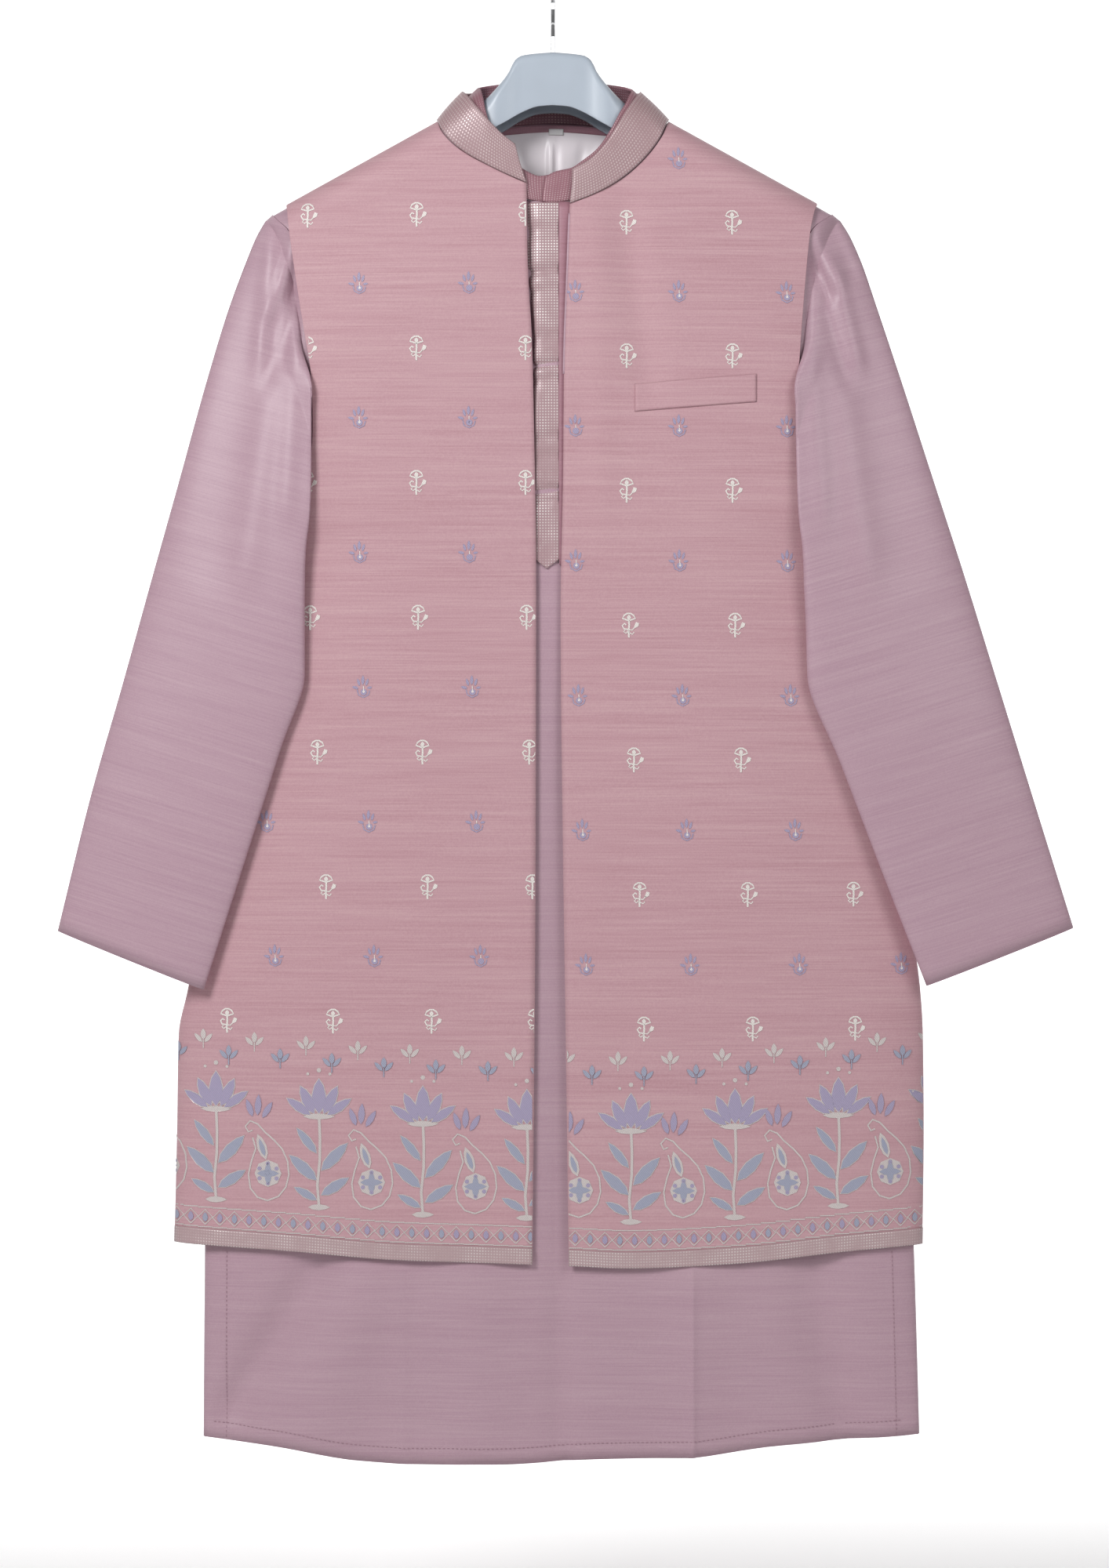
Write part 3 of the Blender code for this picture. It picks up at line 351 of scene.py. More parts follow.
def zariCheck(name, ground, metal, pitch, onUv, shaderValues, patchy=0.5):
    # metal thread floats in small squares, brighter where the light finds a patch
    made, tree, shader = startMaterial(name, shaderValues)
    coordinates = addNode(tree, "ShaderNodeTexCoord")
    place = coordinates.outputs["UV" if onUv else "Object"]
    masks = []
    for direction in ("X", "Y" if onUv else "Z"):
        wave = addNode(tree, "ShaderNodeTexWave", {"bands_direction": direction, "wave_profile": "SIN"},
                       {"Vector": place, "Scale": bandScale(pitch), "Distortion": 0.0})
        masks.append(addNode(tree, "ShaderNodeMapRange", None,
                             {"Value": wave.outputs["Fac"], "From Min": 0.35, "From Max": 0.65}).outputs[0])
    squares = addNode(tree, "ShaderNodeMath", {"operation": "MULTIPLY"}, {0: masks[0], 1: masks[1]})
    patches = addNode(tree, "ShaderNodeTexNoise", None,
                      {"Vector": coordinates.outputs["Object"], "Scale": 1 / (22 * mm), "Detail": 2.0})
    spread = addNode(tree, "ShaderNodeMapRange", None,
                     {"Value": patches.outputs["Fac"], "From Min": 0.35, "From Max": 0.65,
                      "To Min": 1.0 - patchy, "To Max": 1.0})
    shown = addNode(tree, "ShaderNodeMath", {"operation": "MULTIPLY"},
                    {0: squares.outputs[0], 1: spread.outputs[0]})
    ramp = addNode(tree, "ShaderNodeValToRGB", None, {"Fac": shown.outputs[0]})
    stops = ramp.color_ramp.elements
    stops[0].position, stops[0].color = 0.05, colour(ground)
    stops[1].position, stops[1].color = 0.9, colour(metal)
    tree.links.new(ramp.outputs["Color"], shader.inputs["Base Color"])
    metallic = addNode(tree, "ShaderNodeMath", {"operation": "MULTIPLY"}, {0: shown.outputs[0], 1: 0.45})
    tree.links.new(metallic.outputs[0], shader.inputs["Metallic"])
    height = addNode(tree, "ShaderNodeBump", None,
                     {"Height": squares.outputs[0], "Strength": 0.5, "Distance": 0.3 * mm})
    tree.links.new(height.outputs["Normal"], shader.inputs["Normal"])
    return made


def thread(name, base, shaderValues, pitch=1.3):
    # satin-stitched yarn: fine slanting ridges, with painted shade that darkens the grooves between them
    made, tree, shader = startMaterial(name, shaderValues)
    place = addNode(tree, "ShaderNodeTexCoord").outputs["Object"]
    turned = addNode(tree, "ShaderNodeMapping", None, {"Vector": place, "Rotation": (0, math.radians(38), 0)})
    wave = addNode(tree, "ShaderNodeTexWave", {"bands_direction": "X"},
                   {"Vector": turned.outputs[0], "Scale": bandScale(pitch), "Distortion": 0.6})
    ramp = addNode(tree, "ShaderNodeValToRGB", None, {"Fac": wave.outputs["Fac"]})
    stops = ramp.color_ramp.elements
    tone = colour(base)
    # painted shade: the grooves between the ridges, where the bump is low, are a fifth darker than the ridges'
    # tops
    stops[0].color = [c * 0.8 for c in tone[:3]] + [1.0]
    stops[1].color = tone
    tree.links.new(ramp.outputs["Color"], shader.inputs["Base Color"])
    height = addNode(tree, "ShaderNodeBump", None,
                     {"Height": wave.outputs["Fac"], "Strength": 0.4, "Distance": 0.25 * mm})
    tree.links.new(height.outputs["Normal"], shader.inputs["Normal"])
    return made


def mottled(name, base, shaderValues, grainSize=30.0, depth=0.06, bump=0.05):
    # a nearly even surface with a slow drift of tone
    made, tree, shader = startMaterial(name, shaderValues)
    place = addNode(tree, "ShaderNodeTexCoord").outputs["Object"]
    drift = addNode(tree, "ShaderNodeTexNoise", None,
                    {"Vector": place, "Scale": 1 / (grainSize * mm), "Detail": 3.0})
    ramp = addNode(tree, "ShaderNodeValToRGB", None, {"Fac": drift.outputs["Fac"]})
    stops = ramp.color_ramp.elements
    tone = colour(base)
    stops[0].position, stops[0].color = 0.3, [c * (1 - depth) for c in tone[:3]] + [1.0]
    stops[1].position, stops[1].color = 0.7, [min(c * (1 + depth), 1.0) for c in tone[:3]] + [1.0]
    tree.links.new(ramp.outputs["Color"], shader.inputs["Base Color"])
    height = addNode(tree, "ShaderNodeBump", None,
                     {"Height": drift.outputs["Fac"], "Strength": bump, "Distance": 0.3 * mm})
    tree.links.new(height.outputs["Normal"], shader.inputs["Normal"])
    return made


clothShine = {"Roughness": 0.62, "Specular IOR Level": 0.35, "Sheen Weight": 0.15, "Sheen Roughness": 0.4}
silkShine = {"Roughness": 0.42, "Specular IOR Level": 0.4, "Sheen Weight": 0.2, "Sheen Roughness": 0.3}
finishes = {
    "jacketBrocade": wovenCloth("slubBrocade", "#B5878F", "#C49BA3", "#D1ADB1", clothShine, 0.24, bump=0.15),
    "kurtaSilk": wovenCloth("silkBlendSatin", "#B08E9D", "#BA9AA7", "#C3A5B0", silkShine, 0.2, bump=0.12),
    "sleeveSilkRight": wovenCloth("silkBlendSatinRight", "#B08E9D", "#BA9AA7", "#C3A5B0", silkShine, 0.2,
                                  turn=math.radians(-17), bump=0.12),
    "sleeveSilkLeft": wovenCloth("silkBlendSatinLeft", "#B08E9D", "#BA9AA7", "#C3A5B0", silkShine, 0.2,
                                 turn=math.radians(17), bump=0.12),
    # real zari squares are 1.5 mm apart, and 2.3 mm here so that they show
    "collarZari": zariCheck("zariCheck", "#A98A8E", "#D2BFC0", 2.3, True,
                            {"Roughness": 0.4, "Specular IOR Level": 0.5}, 0.55),
    "darkZari": zariCheck("darkZariCheck", "#976974", "#C9ABAF", 2.3, True,
                          {"Roughness": 0.45, "Specular IOR Level": 0.4}, 0.7),
    "placketZari": zariCheck("placketZariCheck", "#AF8F94", "#FBF4F2", 2.3, False,
                             {"Roughness": 0.38, "Specular IOR Level": 0.5}, 0.8),
    "hemZari": zariCheck("hemZariCheck", "#B79C9F", "#E2D5D4", 2.3, True,
                         {"Roughness": 0.38, "Specular IOR Level": 0.5}, 0.8),
    "liningSatin": mottled("liningSatin", "#F6EEF3", {"Roughness": 0.32, "Specular IOR Level": 0.5,
                                                      "Sheen Weight": 0.2}, 60.0, 0.05),
    "roseFacing": wovenCloth("roseFacing", "#9A6C78", "#A67885", "#B08591", silkShine, 0.2),
    "labelSatin": mottled("labelSatin", "#EDEBEC", {"Roughness": 0.4}, 6.0, 0.03),
    "hangerPlastic": mottled("mouldedPolystyrene", "#B6C0CC", {"Roughness": 0.36, "IOR": 1.55}, 40.0, 0.03),
    "silverThread": thread("silverZariThread", "#DFD5D3", {"Roughness": 0.4, "Metallic": 0.25}),
    "lilacThread": thread("lilacSilkThread", "#ADA2C0", {"Roughness": 0.5, "Sheen Weight": 0.2}),
    "greyBlueThread": thread("greyBlueSilkThread", "#A7AABF", {"Roughness": 0.5, "Sheen Weight": 0.2}),
    "whiteThread": thread("whiteSilkThread", "#F1EAE5", {"Roughness": 0.45, "Sheen Weight": 0.2}),
    "roseThread": thread("roseStitchThread", "#AB8794", {"Roughness": 0.6}),
    "hookSteel": mottled("brightPlatedSteel", "#C9CACC", {"Roughness": 0.22, "Metallic": 1.0}, 20.0, 0.03),
}
print("materials made")


# Pieces of cloth: a grid is bent to the garment's form and given its thickness

def finishPiece(obj, material, nodes):
    obj.data.materials.append(finishes[material])
    bpy.context.scene.collection.objects.link(obj)
    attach(obj, "root")
    if nodes:
        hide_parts(*nodes)
    return obj


def thicken(obj, wall, offset=-1.0):
    thick = obj.modifiers.new("Wall", "SOLIDIFY")
    thick.thickness = wall * mm
    thick.offset = offset
    return obj


def clothGrid(name, columns, rows, pointAt, wall, material, nodes=(), flip=False, tube=False):
    grid = bmesh.new()
    uvLayer = grid.loops.layers.uv.new("cloth")
    bmesh.ops.create_grid(grid, x_segments=columns, y_segments=rows, size=0.5, calc_uvs=True)
    shares = [(v.co.x + 0.5, 0.5 - v.co.y) for v in grid.verts]
    for vert, (across, down) in zip(grid.verts, shares):
        vert.co = pointAt(across, down) * mm
    # the UV map holds metres of cloth, measured along the middle row and down the middle column
    def measured(count, at):
        places, total, last = [0.0], 0.0, at(0.0)
        for i in range(1, count + 1):
            point = at(i / count)
            total += (point - last).length * mm
            places.append(total)
            last = point
        return places
    along = measured(columns, lambda share: pointAt(share, 0.5))
    downward = measured(rows, lambda share: pointAt(0.5, share))
    for face in grid.faces:
        for loop in face.loops:
            across, down = shares[loop.vert.index]
            loop[uvLayer].uv = (along[round(across * columns)], downward[round(down * rows)])
    if tube:
        bmesh.ops.remove_doubles(grid, verts=grid.verts, dist=0.02 * mm)
    if flip:
        bmesh.ops.reverse_faces(grid, faces=grid.faces)
    for face in grid.faces:
        face.smooth = True
    area = sum(face.calc_area() for face in grid.faces)
    mesh = bpy.data.meshes.new(name)
    grid.to_mesh(mesh)
    grid.free()
    obj = finishPiece(bpy.data.objects.new(name, mesh), material, nodes)
    thicken(obj, wall)
    print(f"{name}: {area:.4f} square metres")
    return obj


def halfShare(t, neckShare):
    # close columns at the neck point and at the side edge
    if t < 0.5:
        return neckShare * math.sin(math.pi * t)
    return neckShare + (1 - neckShare) * (1 - math.cos(math.pi * (t - 0.5) * 2)) / 2


def bothShares(across, neckShare):
    t = abs(across * 2 - 1)
    return sideOf(across - 0.5) * halfShare(t, neckShare)


def dropShare(down, split=0.42):
    # (share from the shoulder to the underarm, share from there to the hem)
    if down < split:
        return (down / split) ** 1.75, 0.0
    return 1.0, (down - split) / (1 - split)


def panelPoint(share, down, across, top, underarm, hem, surface):
    upper, lower = dropShare(down)
    if lower == 0.0:
        z = blend(top(across(share, neckLevel)), underarm, upper)
    else:
        z = blend(underarm, hem(across(share, hem(0.0))), lower)
    return surface(across(share, z), z)


def makeKurtaBody():
    neckShare = kurta["neck"] / kurtaWidths[-1](neckLevel)

    def across(share, z):
        return share * kurtaSeams[sideOf(share)](z)

    def frontTop(x):
        return kurtaNeckline(abs(x)) if abs(x) < kurta["neck"] else shoulderRidge(x) - body["overKurta"]

    def front(a, d):
        share = bothShares(a, neckShare)
        return panelPoint(share, d, across, frontTop, kurta["underarm"], kurtaHem, kurtaFront)

    def back(a, d):
        return panelPoint(bothShares(a, neckShare), d, across,
                          lambda x: backNeckline(x, kurta["neck"], body["overKurta"]),
                          kurta["underarm"], lambda x: kurtaHem(x) - kurta["backHemDrop"], kurtaBack)

    clothGrid("kurtaFrontCloth", 84, 130, front, kurta["wall"], "kurtaSilk", ["kurta_front"])
    clothGrid("kurtaBackCloth", 84, 110, back, kurta["wall"], "kurtaSilk",
              ["kurta_back"], True)


def makeJacketBody():
    for side, word in ((-1, "Right"), (1, "Left")):
        opening, neckline = jacketOpenings[side], jacketNecklines[side]
        start, full = abs(opening(neckLevel)), jacketWidths[side](neckLevel)
        neckShare = (jacket["neck"] - start) / (full - start)

        def across(share, z):
            return blend(opening(z), side * jacketWidths[side](z), share)

        def top(x):
            return neckline(abs(x)) if abs(x) < jacket["neck"] else shoulderRidge(x)

        def point(a, d):
            share = halfShare(a, neckShare)
            return panelPoint(share, d, across, top, jacket["underarm"], jacketHem, jacketFront)

        clothGrid(f"jacketFront{word}Cloth", 60, 140, point, jacket["wall"], "jacketBrocade",
                  [f"jacket_front_{word.lower()}"], side < 0)

    neckShare = jacket["neck"] / jacketWidths[-1](neckLevel)

    def backAcross(share, z):
        return share * jacketWidths[sideOf(share)](z)

    def backPoint(a, d):
        return panelPoint(bothShares(a, neckShare), d, backAcross,
                          lambda x: backNeckline(x, jacket["neck"], 0.0),
                          jacket["underarm"], jacketHem, jacketBack)

    clothGrid("jacketBackCloth", 90, 130, backPoint, jacket["wall"], "jacketBrocade",
              ["jacket_back"], True)


# Sleeves: bowed, flattened rings that hang before the jacket's sides
# outer x, z, y, inner x, z, y, half-thickness, bow

sleeves = {
    "right": [(-234.0, -202.0, 0.0, -235.0, -431.5, -4.0, 19.0, 22.5),
              (-240.5, -214.0, -2.0, -234.0, -435.5, -14.0, 19.0, 25.0),
              (-250.0, -238.0, -5.0, -217.0, -446.0, -30.0, 16.0, 23.0),
              (-263.5, -276.0, -8.0, -202.0, -462.0, -36.5, 13.5, 17.0),
              (-282.0, -338.0, -10.0, -200.8, -492.0, -37.5, 12.5, 8.0),
              (-301.7, -410.5, -12.0, -200.8, -530.0, -37.0, 12.0, 3.0),
              (-323.5, -489.0, -13.0, -200.8, -571.8, -36.0, 12.0, 0.0),
              (-348.3, -579.0, -14.0, -220.0, -631.0, -33.5, 11.5, 0.0),
              (-374.1, -670.0, -14.5, -251.0, -727.0, -30.0, 10.5, 0.0),
              (-401.0, -780.0, -15.0, -283.2, -826.5, -26.0, 8.5, 0.0)],
    "left": [(234.0, -202.0, 0.0, 235.0, -431.5, -4.0, 19.0, 22.5),
             (240.5, -213.0, -2.0, 235.0, -435.5, -14.0, 19.0, 25.0),
             (250.0, -235.0, -5.0, 218.0, -446.0, -30.0, 16.0, 22.5),
             (264.0, -277.0, -8.0, 204.0, -463.0, -36.5, 13.5, 16.0),
             (284.0, -338.0, -10.0, 203.0, -493.0, -37.5, 12.5, 8.0),
             (307.2, -410.5, -12.0, 204.5, -533.0, -37.0, 12.0, 3.0),
             (332.5, -489.0, -13.0, 205.9, -575.0, -36.0, 12.0, 0.0),
             (360.2, -579.0, -14.0, 232.5, -643.0, -33.5, 11.5, 0.0),
             (388.5, -671.0, -14.5, 263.0, -722.0, -30.0, 10.5, 0.0),
             (421.5, -777.5, -15.0, 302.9, -823.3, -26.0, 8.5, 0.0)],
    # how far the front layer folds in over the jacket's edge, ring by ring, below the fold's top
    "tuck": [(1, 0.0), (2, 10.0), (3, 5.0), (4, 2.0), (5, 0.0), (10, 0.0)],
    "headTuck": [(0, 0.0), (1, 8.0), (3, 8.0), (5, 2.0), (6, 0.0), (10, 0.0)],  # over the jacket's whole edge
    "tuckTop": -300.0,
    "tuckRun": 46.0,
    "clearance": 3.0,
    "layers": 5.0,
    "rings": 110,
    "around": 96,
    # creases at the sleeve heads: x0, z0, x1, z1, half-width, rise
    "foldsRight": [(-211, -226, -228, -276, 5, 5.0), (-206, -240, -214, -268, 5, -6.0),
                   (-209, -262, -218, -316, 5.5, -3.6), (-229, -214, -236, -310, 6, 3.4),
                   (-222, -250, -230, -330, 6, -3.0), (-207, -300, -214, -430, 8, 2.4),
                   (-250, -300, -276, -470, 20, -2.6), (-226, -330, -246, -480, 11, 2.0)],
    "foldsLeft": [(209, -212, 231, -252, 5, 4.6), (207, -230, 224, -264, 5, -5.6),
                  (231, -252, 246, -316, 6, 3.6), (218, -262, 236, -330, 7, -3.4),
                  (226, -205, 243, -245, 6, -2.8), (208, -300, 216, -430, 8, 2.4),
                  (252, -300, 282, -470, 20, -2.6), (232, -330, 252, -480, 11, 2.0)],
}


def beforePanel(surface, width, x, z, slope):
    side = sideOf(x)
    edge = width[side](z)
    if abs(x) <= edge:
        return movedOut(surface, x, z, sleeves["clearance"]).y
    return surface(side * edge, z).y - sleeves["clearance"] + (abs(x) - edge) * slope


def armholePoint(side, angle):
    level = (1 - math.cos(angle)) / 2
    tip = shoulderRidge(kurtaSeams[side](-190)) - body["overKurta"]
    z = blend(tip, kurta["underarm"], level)
    x = side * kurtaSeams[side](z)
    y = -kurtaDepth(x, z)
    if level < 0.001 or level > 0.999:
        y = 0.0
    return Vector((x + side * 0.1, y if angle <= math.pi else -y, z))


def makeSleeve(word, side):
    table = sleeves[word]
    curves = [smoothCurve(list(enumerate(values))) for values in zip(*table)]
    folds = sleeves["folds" + word.capitalize()]
    tuck, headTuck = smoothCurve(sleeves["tuck"]), smoothCurve(sleeves["headTuck"])

    def sleevePoint(around, down):
        angle = 2 * math.pi * around
        place = down * len(table)  # the first step leads from the armhole to the first ring
        if place < 0.001:
            return armholePoint(side, angle)
        ring = [curve(max(place - 1, 0.0)) for curve in curves]
        outer, inner = Vector((ring[0], 0, ring[1])), Vector((ring[3], 0, ring[4]))
        middle, half = (outer + inner) / 2, (outer - inner) / 2
        inward = Vector((-side * abs(half.z), 0, side * half.x * sideOf(half.z) * -1)).normalized()
        point = middle + half * math.cos(angle) + inward * ring[7] * math.sin(angle) ** 2
        point.y = blend(ring[2], ring[5], (1 - math.cos(angle)) / 2) - ring[6] * math.sin(angle)
        if angle < math.pi:
            low = ease((sleeves["tuckTop"] - point.z) / sleeves["tuckRun"])
            point.x -= side * (headTuck(place) + tuck(place) * low) * math.sin(angle) ** 0.6
        else:
            low = 1.0
        beyond = ease(place - 1) * low
        if beyond > 0:
            slope, layers = 0.45, sleeves["layers"] * math.sin(angle)
            if angle > math.pi:
                slope, layers = blend(3.0, 0.45, ease((-370 - point.z) / 40)), 0.0
            limit = point.y
            for surface, width in ((jacketFront, jacketWidths), (kurtaFront, kurtaWidths)):
                limit = min(limit, beforePanel(surface, width, point.x, point.z, slope) - layers)
            point.y = blend(point.y, limit, beyond)
        if place < 1:
            seam = armholePoint(side, angle)
            point = seam.lerp(point, ease(place) * 0.6 + place * 0.4)
            edge = jacketWidths[side](point.z)
            under = ease((edge + 3 - abs(point.x)) / 3)
            if angle < math.pi and under > 0:
                behind = -jacketDepth(side * edge, point.z) + jacket["wall"] + 1.0
                point.y = max(point.y, blend(point.y, behind, under))
        if angle < math.pi:
            strength = math.sin(angle) ** 0.5 * ease(place * 1.5)
            relief = foldRelief(point.x, point.z, folds)
            relief += 1.1 * ripple(point.x * 0.8 - point.z * 0.25 * side, point.z * 0.7, 23.0 * side)
            if abs(point.x) < jacketWidths[side](point.z) + 4 and beyond > 0.3:
                relief = max(relief, -0.8)  # no fold sinks into the jacket below
            point.y -= relief * strength * ease(sleeves["rings"] * (1 - down) / 6)
        return point

    # spread the rings so that the head of the sleeve has more of them
    def spaced(around, down):
        return sleevePoint(around, down**1.25)

    clothGrid(f"kurtaSleeve{word.capitalize()}Cloth", sleeves["around"], sleeves["rings"], spaced,
              kurta["wall"], f"sleeveSilk{word.capitalize()}",
              [f"kurta_sleeve_{word}"], side < 0, True)
    makeSleeveStitch(word.capitalize(), sleevePoint)


# Collars: share of the neckline, then the top edge's distance from the centre, height and depth

collars = {
    "gap": 0.15,
    "inset": 0.995,
    "underTuck": 2.2,
    "belly": 0.9,
    "wall": 1.4,
    "jacketRight": [(0, 30.4, -144.0, -30.0), (0.25, 40.7, -135.8, -30.0), (0.48, 50.5, -125.8, -30.0),
                    (0.68, 58.5, -116.3, -28.5), (0.83, 64.0, -109.5, -25.5), (0.92, 67.5, -104.3, -20.5),
                    (0.965, 70.3, -100.5, -14.5), (0.99, 72.3, -97.8, -7.5), (1, 73.2, -96.2, 0.0)],
    "jacketLeft": [(0, 15.9, -163.7, -29.0), (0.25, 29.5, -156.2, -29.7), (0.48, 42.0, -143.5, -30.0),
                   (0.68, 51.0, -130.0, -29.5), (0.83, 57.5, -118.5, -26.5), (0.92, 63.2, -109.3, -21.0),
                   (0.965, 66.7, -103.5, -14.5), (0.99, 69.3, -99.3, -7.5), (1, 70.6, -96.5, 0.0)],
    "jacketBack": [(0, 0.0, -85.5, 30.3), (0.25, 19.0, -86.0, 30.0), (0.48, 36.0, -87.0, 29.0),
                   (0.68, 50.0, -89.0, 27.0), (0.83, 60.0, -91.5, 23.5), (0.92, 66.0, -93.5, 18.5),
                   (0.965, 69.5, -95.0, 13.0), (0.99, 71.0, -96.0, 7.0)],
    "kurtaRight": [(-0.034, -2.0, -166.5, -22.6), (0.11, 10.5, -168.6, -22.9), (0.25, 25.0, -162.8, -24.6),
                   (0.48, 38.5, -149.5, -24.8), (0.68, 48.5, -132.5, -24.8), (0.83, 54.0, -116.5, -22.5),
                   (0.92, 56.0, -106.5, -19.0), (0.965, 57.0, -101.0, -13.5), (0.99, 58.0, -97.0, -7.0),
                   (1, 58.8, -94.0, 0.0)],
    "kurtaLeft": [(-0.097, -6.3, -170.0, -25.0), (-0.01, 2.0, -165.4, -25.0), (0.13, 15.5, -162.2, -25.0),
                  (0.25, 22.5, -157.5, -25.0), (0.48, 36.0, -146.5, -25.0), (0.68, 47.0, -130.5, -24.8),
                  (0.83, 54.0, -117.0, -22.5), (0.92, 59.0, -108.5, -19.0), (0.965, 61.3, -102.5, -13.5),
                  (0.99, 63.0, -98.0, -7.0), (1, 64.0, -94.8, 0.0)],
    "kurtaBack": [(0, 0.0, -82.5, 23.7), (0.25, 15.0, -82.7, 23.5), (0.48, 29.0, -83.3, 23.0),
                  (0.68, 40.0, -84.5, 22.0), (0.83, 48.5, -86.3, 19.8), (0.92, 55.0, -88.5, 16.0),
                  (0.965, 59.0, -90.5, 11.5), (0.99, 61.0, -92.3, 6.5)],
}


def collarStations(stands, side, start, neck, surface, neckline):
    stations = []
    for share, topX, topZ, topY in stands:
        x = side * blend(start, neck, share)
        base = surface(x * collars["inset"], neckline(x)) + Vector((0, 0, collars["gap"]))
        stations.append((base, Vector((side * topX, topY, topZ))))
    return stations


def collarWall(name, stations, material, node):
    # smooth curves through the stations, spaced by the length of the top edge
    places = [0.0]
    for (_, last), (_, top) in zip(stations, stations[1:]):
        places.append(places[-1] + (top - last).length)
    edges = []
    for edge in (0, 1):
        edges.append([smoothCurve([(p, s[edge][axis]) for p, s in zip(places, stations)]) for axis in range(3)])

    def point(across, down):
        place = across * places[-1]
        base, top = (Vector([curve(place) for curve in edge]) for edge in edges)
        share = 1 - down
        middle = base.lerp(top, share)
        outward = Vector((middle.x, middle.y, 0)).normalized()
        return middle + outward * collars["belly"] * math.sin(math.pi * share)

    return clothGrid(name, 150, 14, point, collars["wall"], material, [node])


def makeCollars():
    def ringOf(word, neck, frontSurface, backSurface, necklines, starts, underRidge):
        fronts = {}
        for side, name in ((-1, "Right"), (1, "Left")):
            fronts[side] = collarStations(collars[word + name], side, starts[side], neck, frontSurface,
                                          lambda x, side=side: necklines[side](abs(x)))
        backs = collars[word + "Back"]

        def dip(x):
            return backNeckline(x, neck, underRidge)

        right = collarStations(list(reversed(backs)), -1, 0.0, neck, backSurface, dip)
        left = collarStations(backs[1:], 1, 0.0, neck, backSurface, dip)
        return fronts[-1], right + left, fronts[1][::-1]

    plainJacket = lambda x, z: Vector((x, -jacketDepth(x, z), z))
    plainKurta = lambda x, z: Vector((x, -kurtaDepth(x, z), z))
    starts = {side: abs(jacketOpenings[side](neckLevel)) for side in (-1, 1)}
    right, back, left = ringOf("jacket", jacket["neck"], plainJacket, jacketBack, jacketNecklines, starts,
                               0.0)
    collarWall("jacketCollarBand", right + back + left, "collarZari", "jacket_collar")
    necklines = {-1: kurtaNeckline, 1: kurtaNeckline}
    right, back, left = ringOf("kurta", kurta["neck"], plainKurta, kurtaBack, necklines, {-1: 0.0, 1: 0.0},
                               body["overKurta"])
    for base, _ in right:
        base.y += collars["underTuck"] * ease((base.x + 24) / 12)
    collarWall("kurtaCollarBand", right + back + left, "darkZari", "kurta_collar")


# Placket, neck facing and label, welt, hem tape

trims = {
    "wall": 0.8,
    "lift": 1.1,
    "placketRight": -14.6,
    "placketHidden": 8.0,
    "placketLeft": 5.1,
    "placketTop": -190.6,
    "placketCorner": -479.3,
    "placketTip": -486.9,
    "placketCreases": [(-213, 7, 1.6), (-246, 4, 2.2), (-262, 5, 1.2), (-322, 3, 2.8), (-334, 5, 1.2),
                       (-381, 5, 1.6), (-396, 6, 1.0), (-424, 4, 2.6), (-432, 3, 1.6), (-300, 6, 0.9)],
    "facingHalf": 66.0,
    "facingFolds": [(-2, -134, -2, -205, 2.2, 3.0), (3, -134, 3, -205, 3.0, -1.2),
                    (-40, -140, -16, -205, 5, 2.4), (-26, -138, -10, -205, 4, -1.2),
                    (40, -140, 20, -200, 6, 2.2), (24, -136, 14, -205, 4, -1.2)],
    "facingDrop": 78.0,
    "weltCorner": (65.8, -360.4),
    "weltSize": (98.5, 22.8),
    "weltRise": 8.0,
    "tapeHeight": 13.4,
}


def placketLevel(down):
    return blend(trims["placketTop"], trims["placketTip"], down)


def makePlacket():
    left, right = trims["placketLeft"], trims["placketRight"]
    middle = (left + right) / 2

    def point(across, down):
        # the top of the band runs on under the jacket's right front
        hidden = trims["placketHidden"] * ease((placketLevel(down) + 300) / 90)
        x = blend(right - hidden, left, across)
        end = blend(trims["placketTip"], trims["placketCorner"], abs(x - middle) / (left - middle))
        z = blend(trims["placketTop"], end, down)
        sink = sum(d * math.exp(-(((z - at - (x - middle) * 0.12) / w) ** 2))
                   for at, w, d in trims["placketCreases"])
        return movedOut(kurtaFront, x, z, trims["lift"] + 0.9 - sink * 0.9)

    clothGrid("placketBand", 14, 150, point, trims["wall"], "placketZari", ["kurta_placket"])


def makeNeckFacing():
    def point(across, down):
        t = across * 2 - 1
        x = trims["facingHalf"] * t
        top = backNeckline(x, kurta["neck"], body["overKurta"]) - 1.0
        depth = trims["facingDrop"] * math.sqrt(1 - 0.72 * t * t)
        z = top - depth * down
        rise = foldRelief(x, z, trims["facingFolds"]) * ease(down * 3)
        return movedOut(kurtaBack, x, z, -3.4 - rise)

    clothGrid("neckFacing", 80, 40, point, 0.6, "liningSatin", ["kurta_neck_facing"], True)

    def strip(across, down):
        x = trims["facingHalf"] * 0.98 * (across * 2 - 1)
        top = backNeckline(x, kurta["neck"], body["overKurta"]) - 0.6
        return movedOut(kurtaBack, x, top - 6.5 * down, -3.6)

    clothGrid("neckBand", 60, 4, strip, 0.6, "roseFacing", (), True)

    def label(across, down):
        x = 2.6 + 12.0 * (across - 0.5)
        z = backNeckline(x, kurta["neck"], body["overKurta"]) - 4.6 - 5.0 * down
        return movedOut(kurtaBack, x, z, -4.4)

    clothGrid("neckLabel", 10, 6, label, 0.5, "labelSatin", ["kurta_neck_label"], True)


def makeWelt():
    width, height = trims["weltSize"]

    def point(across, down):
        x = trims["weltCorner"][0] + width * across
        z = trims["weltCorner"][1] + trims["weltRise"] * across + height * (1 - down)
        rim = min(across * width, (1 - across) * width, down * height, (1 - down) * height)
        return movedOut(jacketFront, x, z, 0.35 + trims["lift"] * ease(rim / 2.0 + 0.25))

    clothGrid("pocketWelt", 60, 18, point, trims["wall"], "jacketBrocade",
              ["jacket_pocket_welt"])


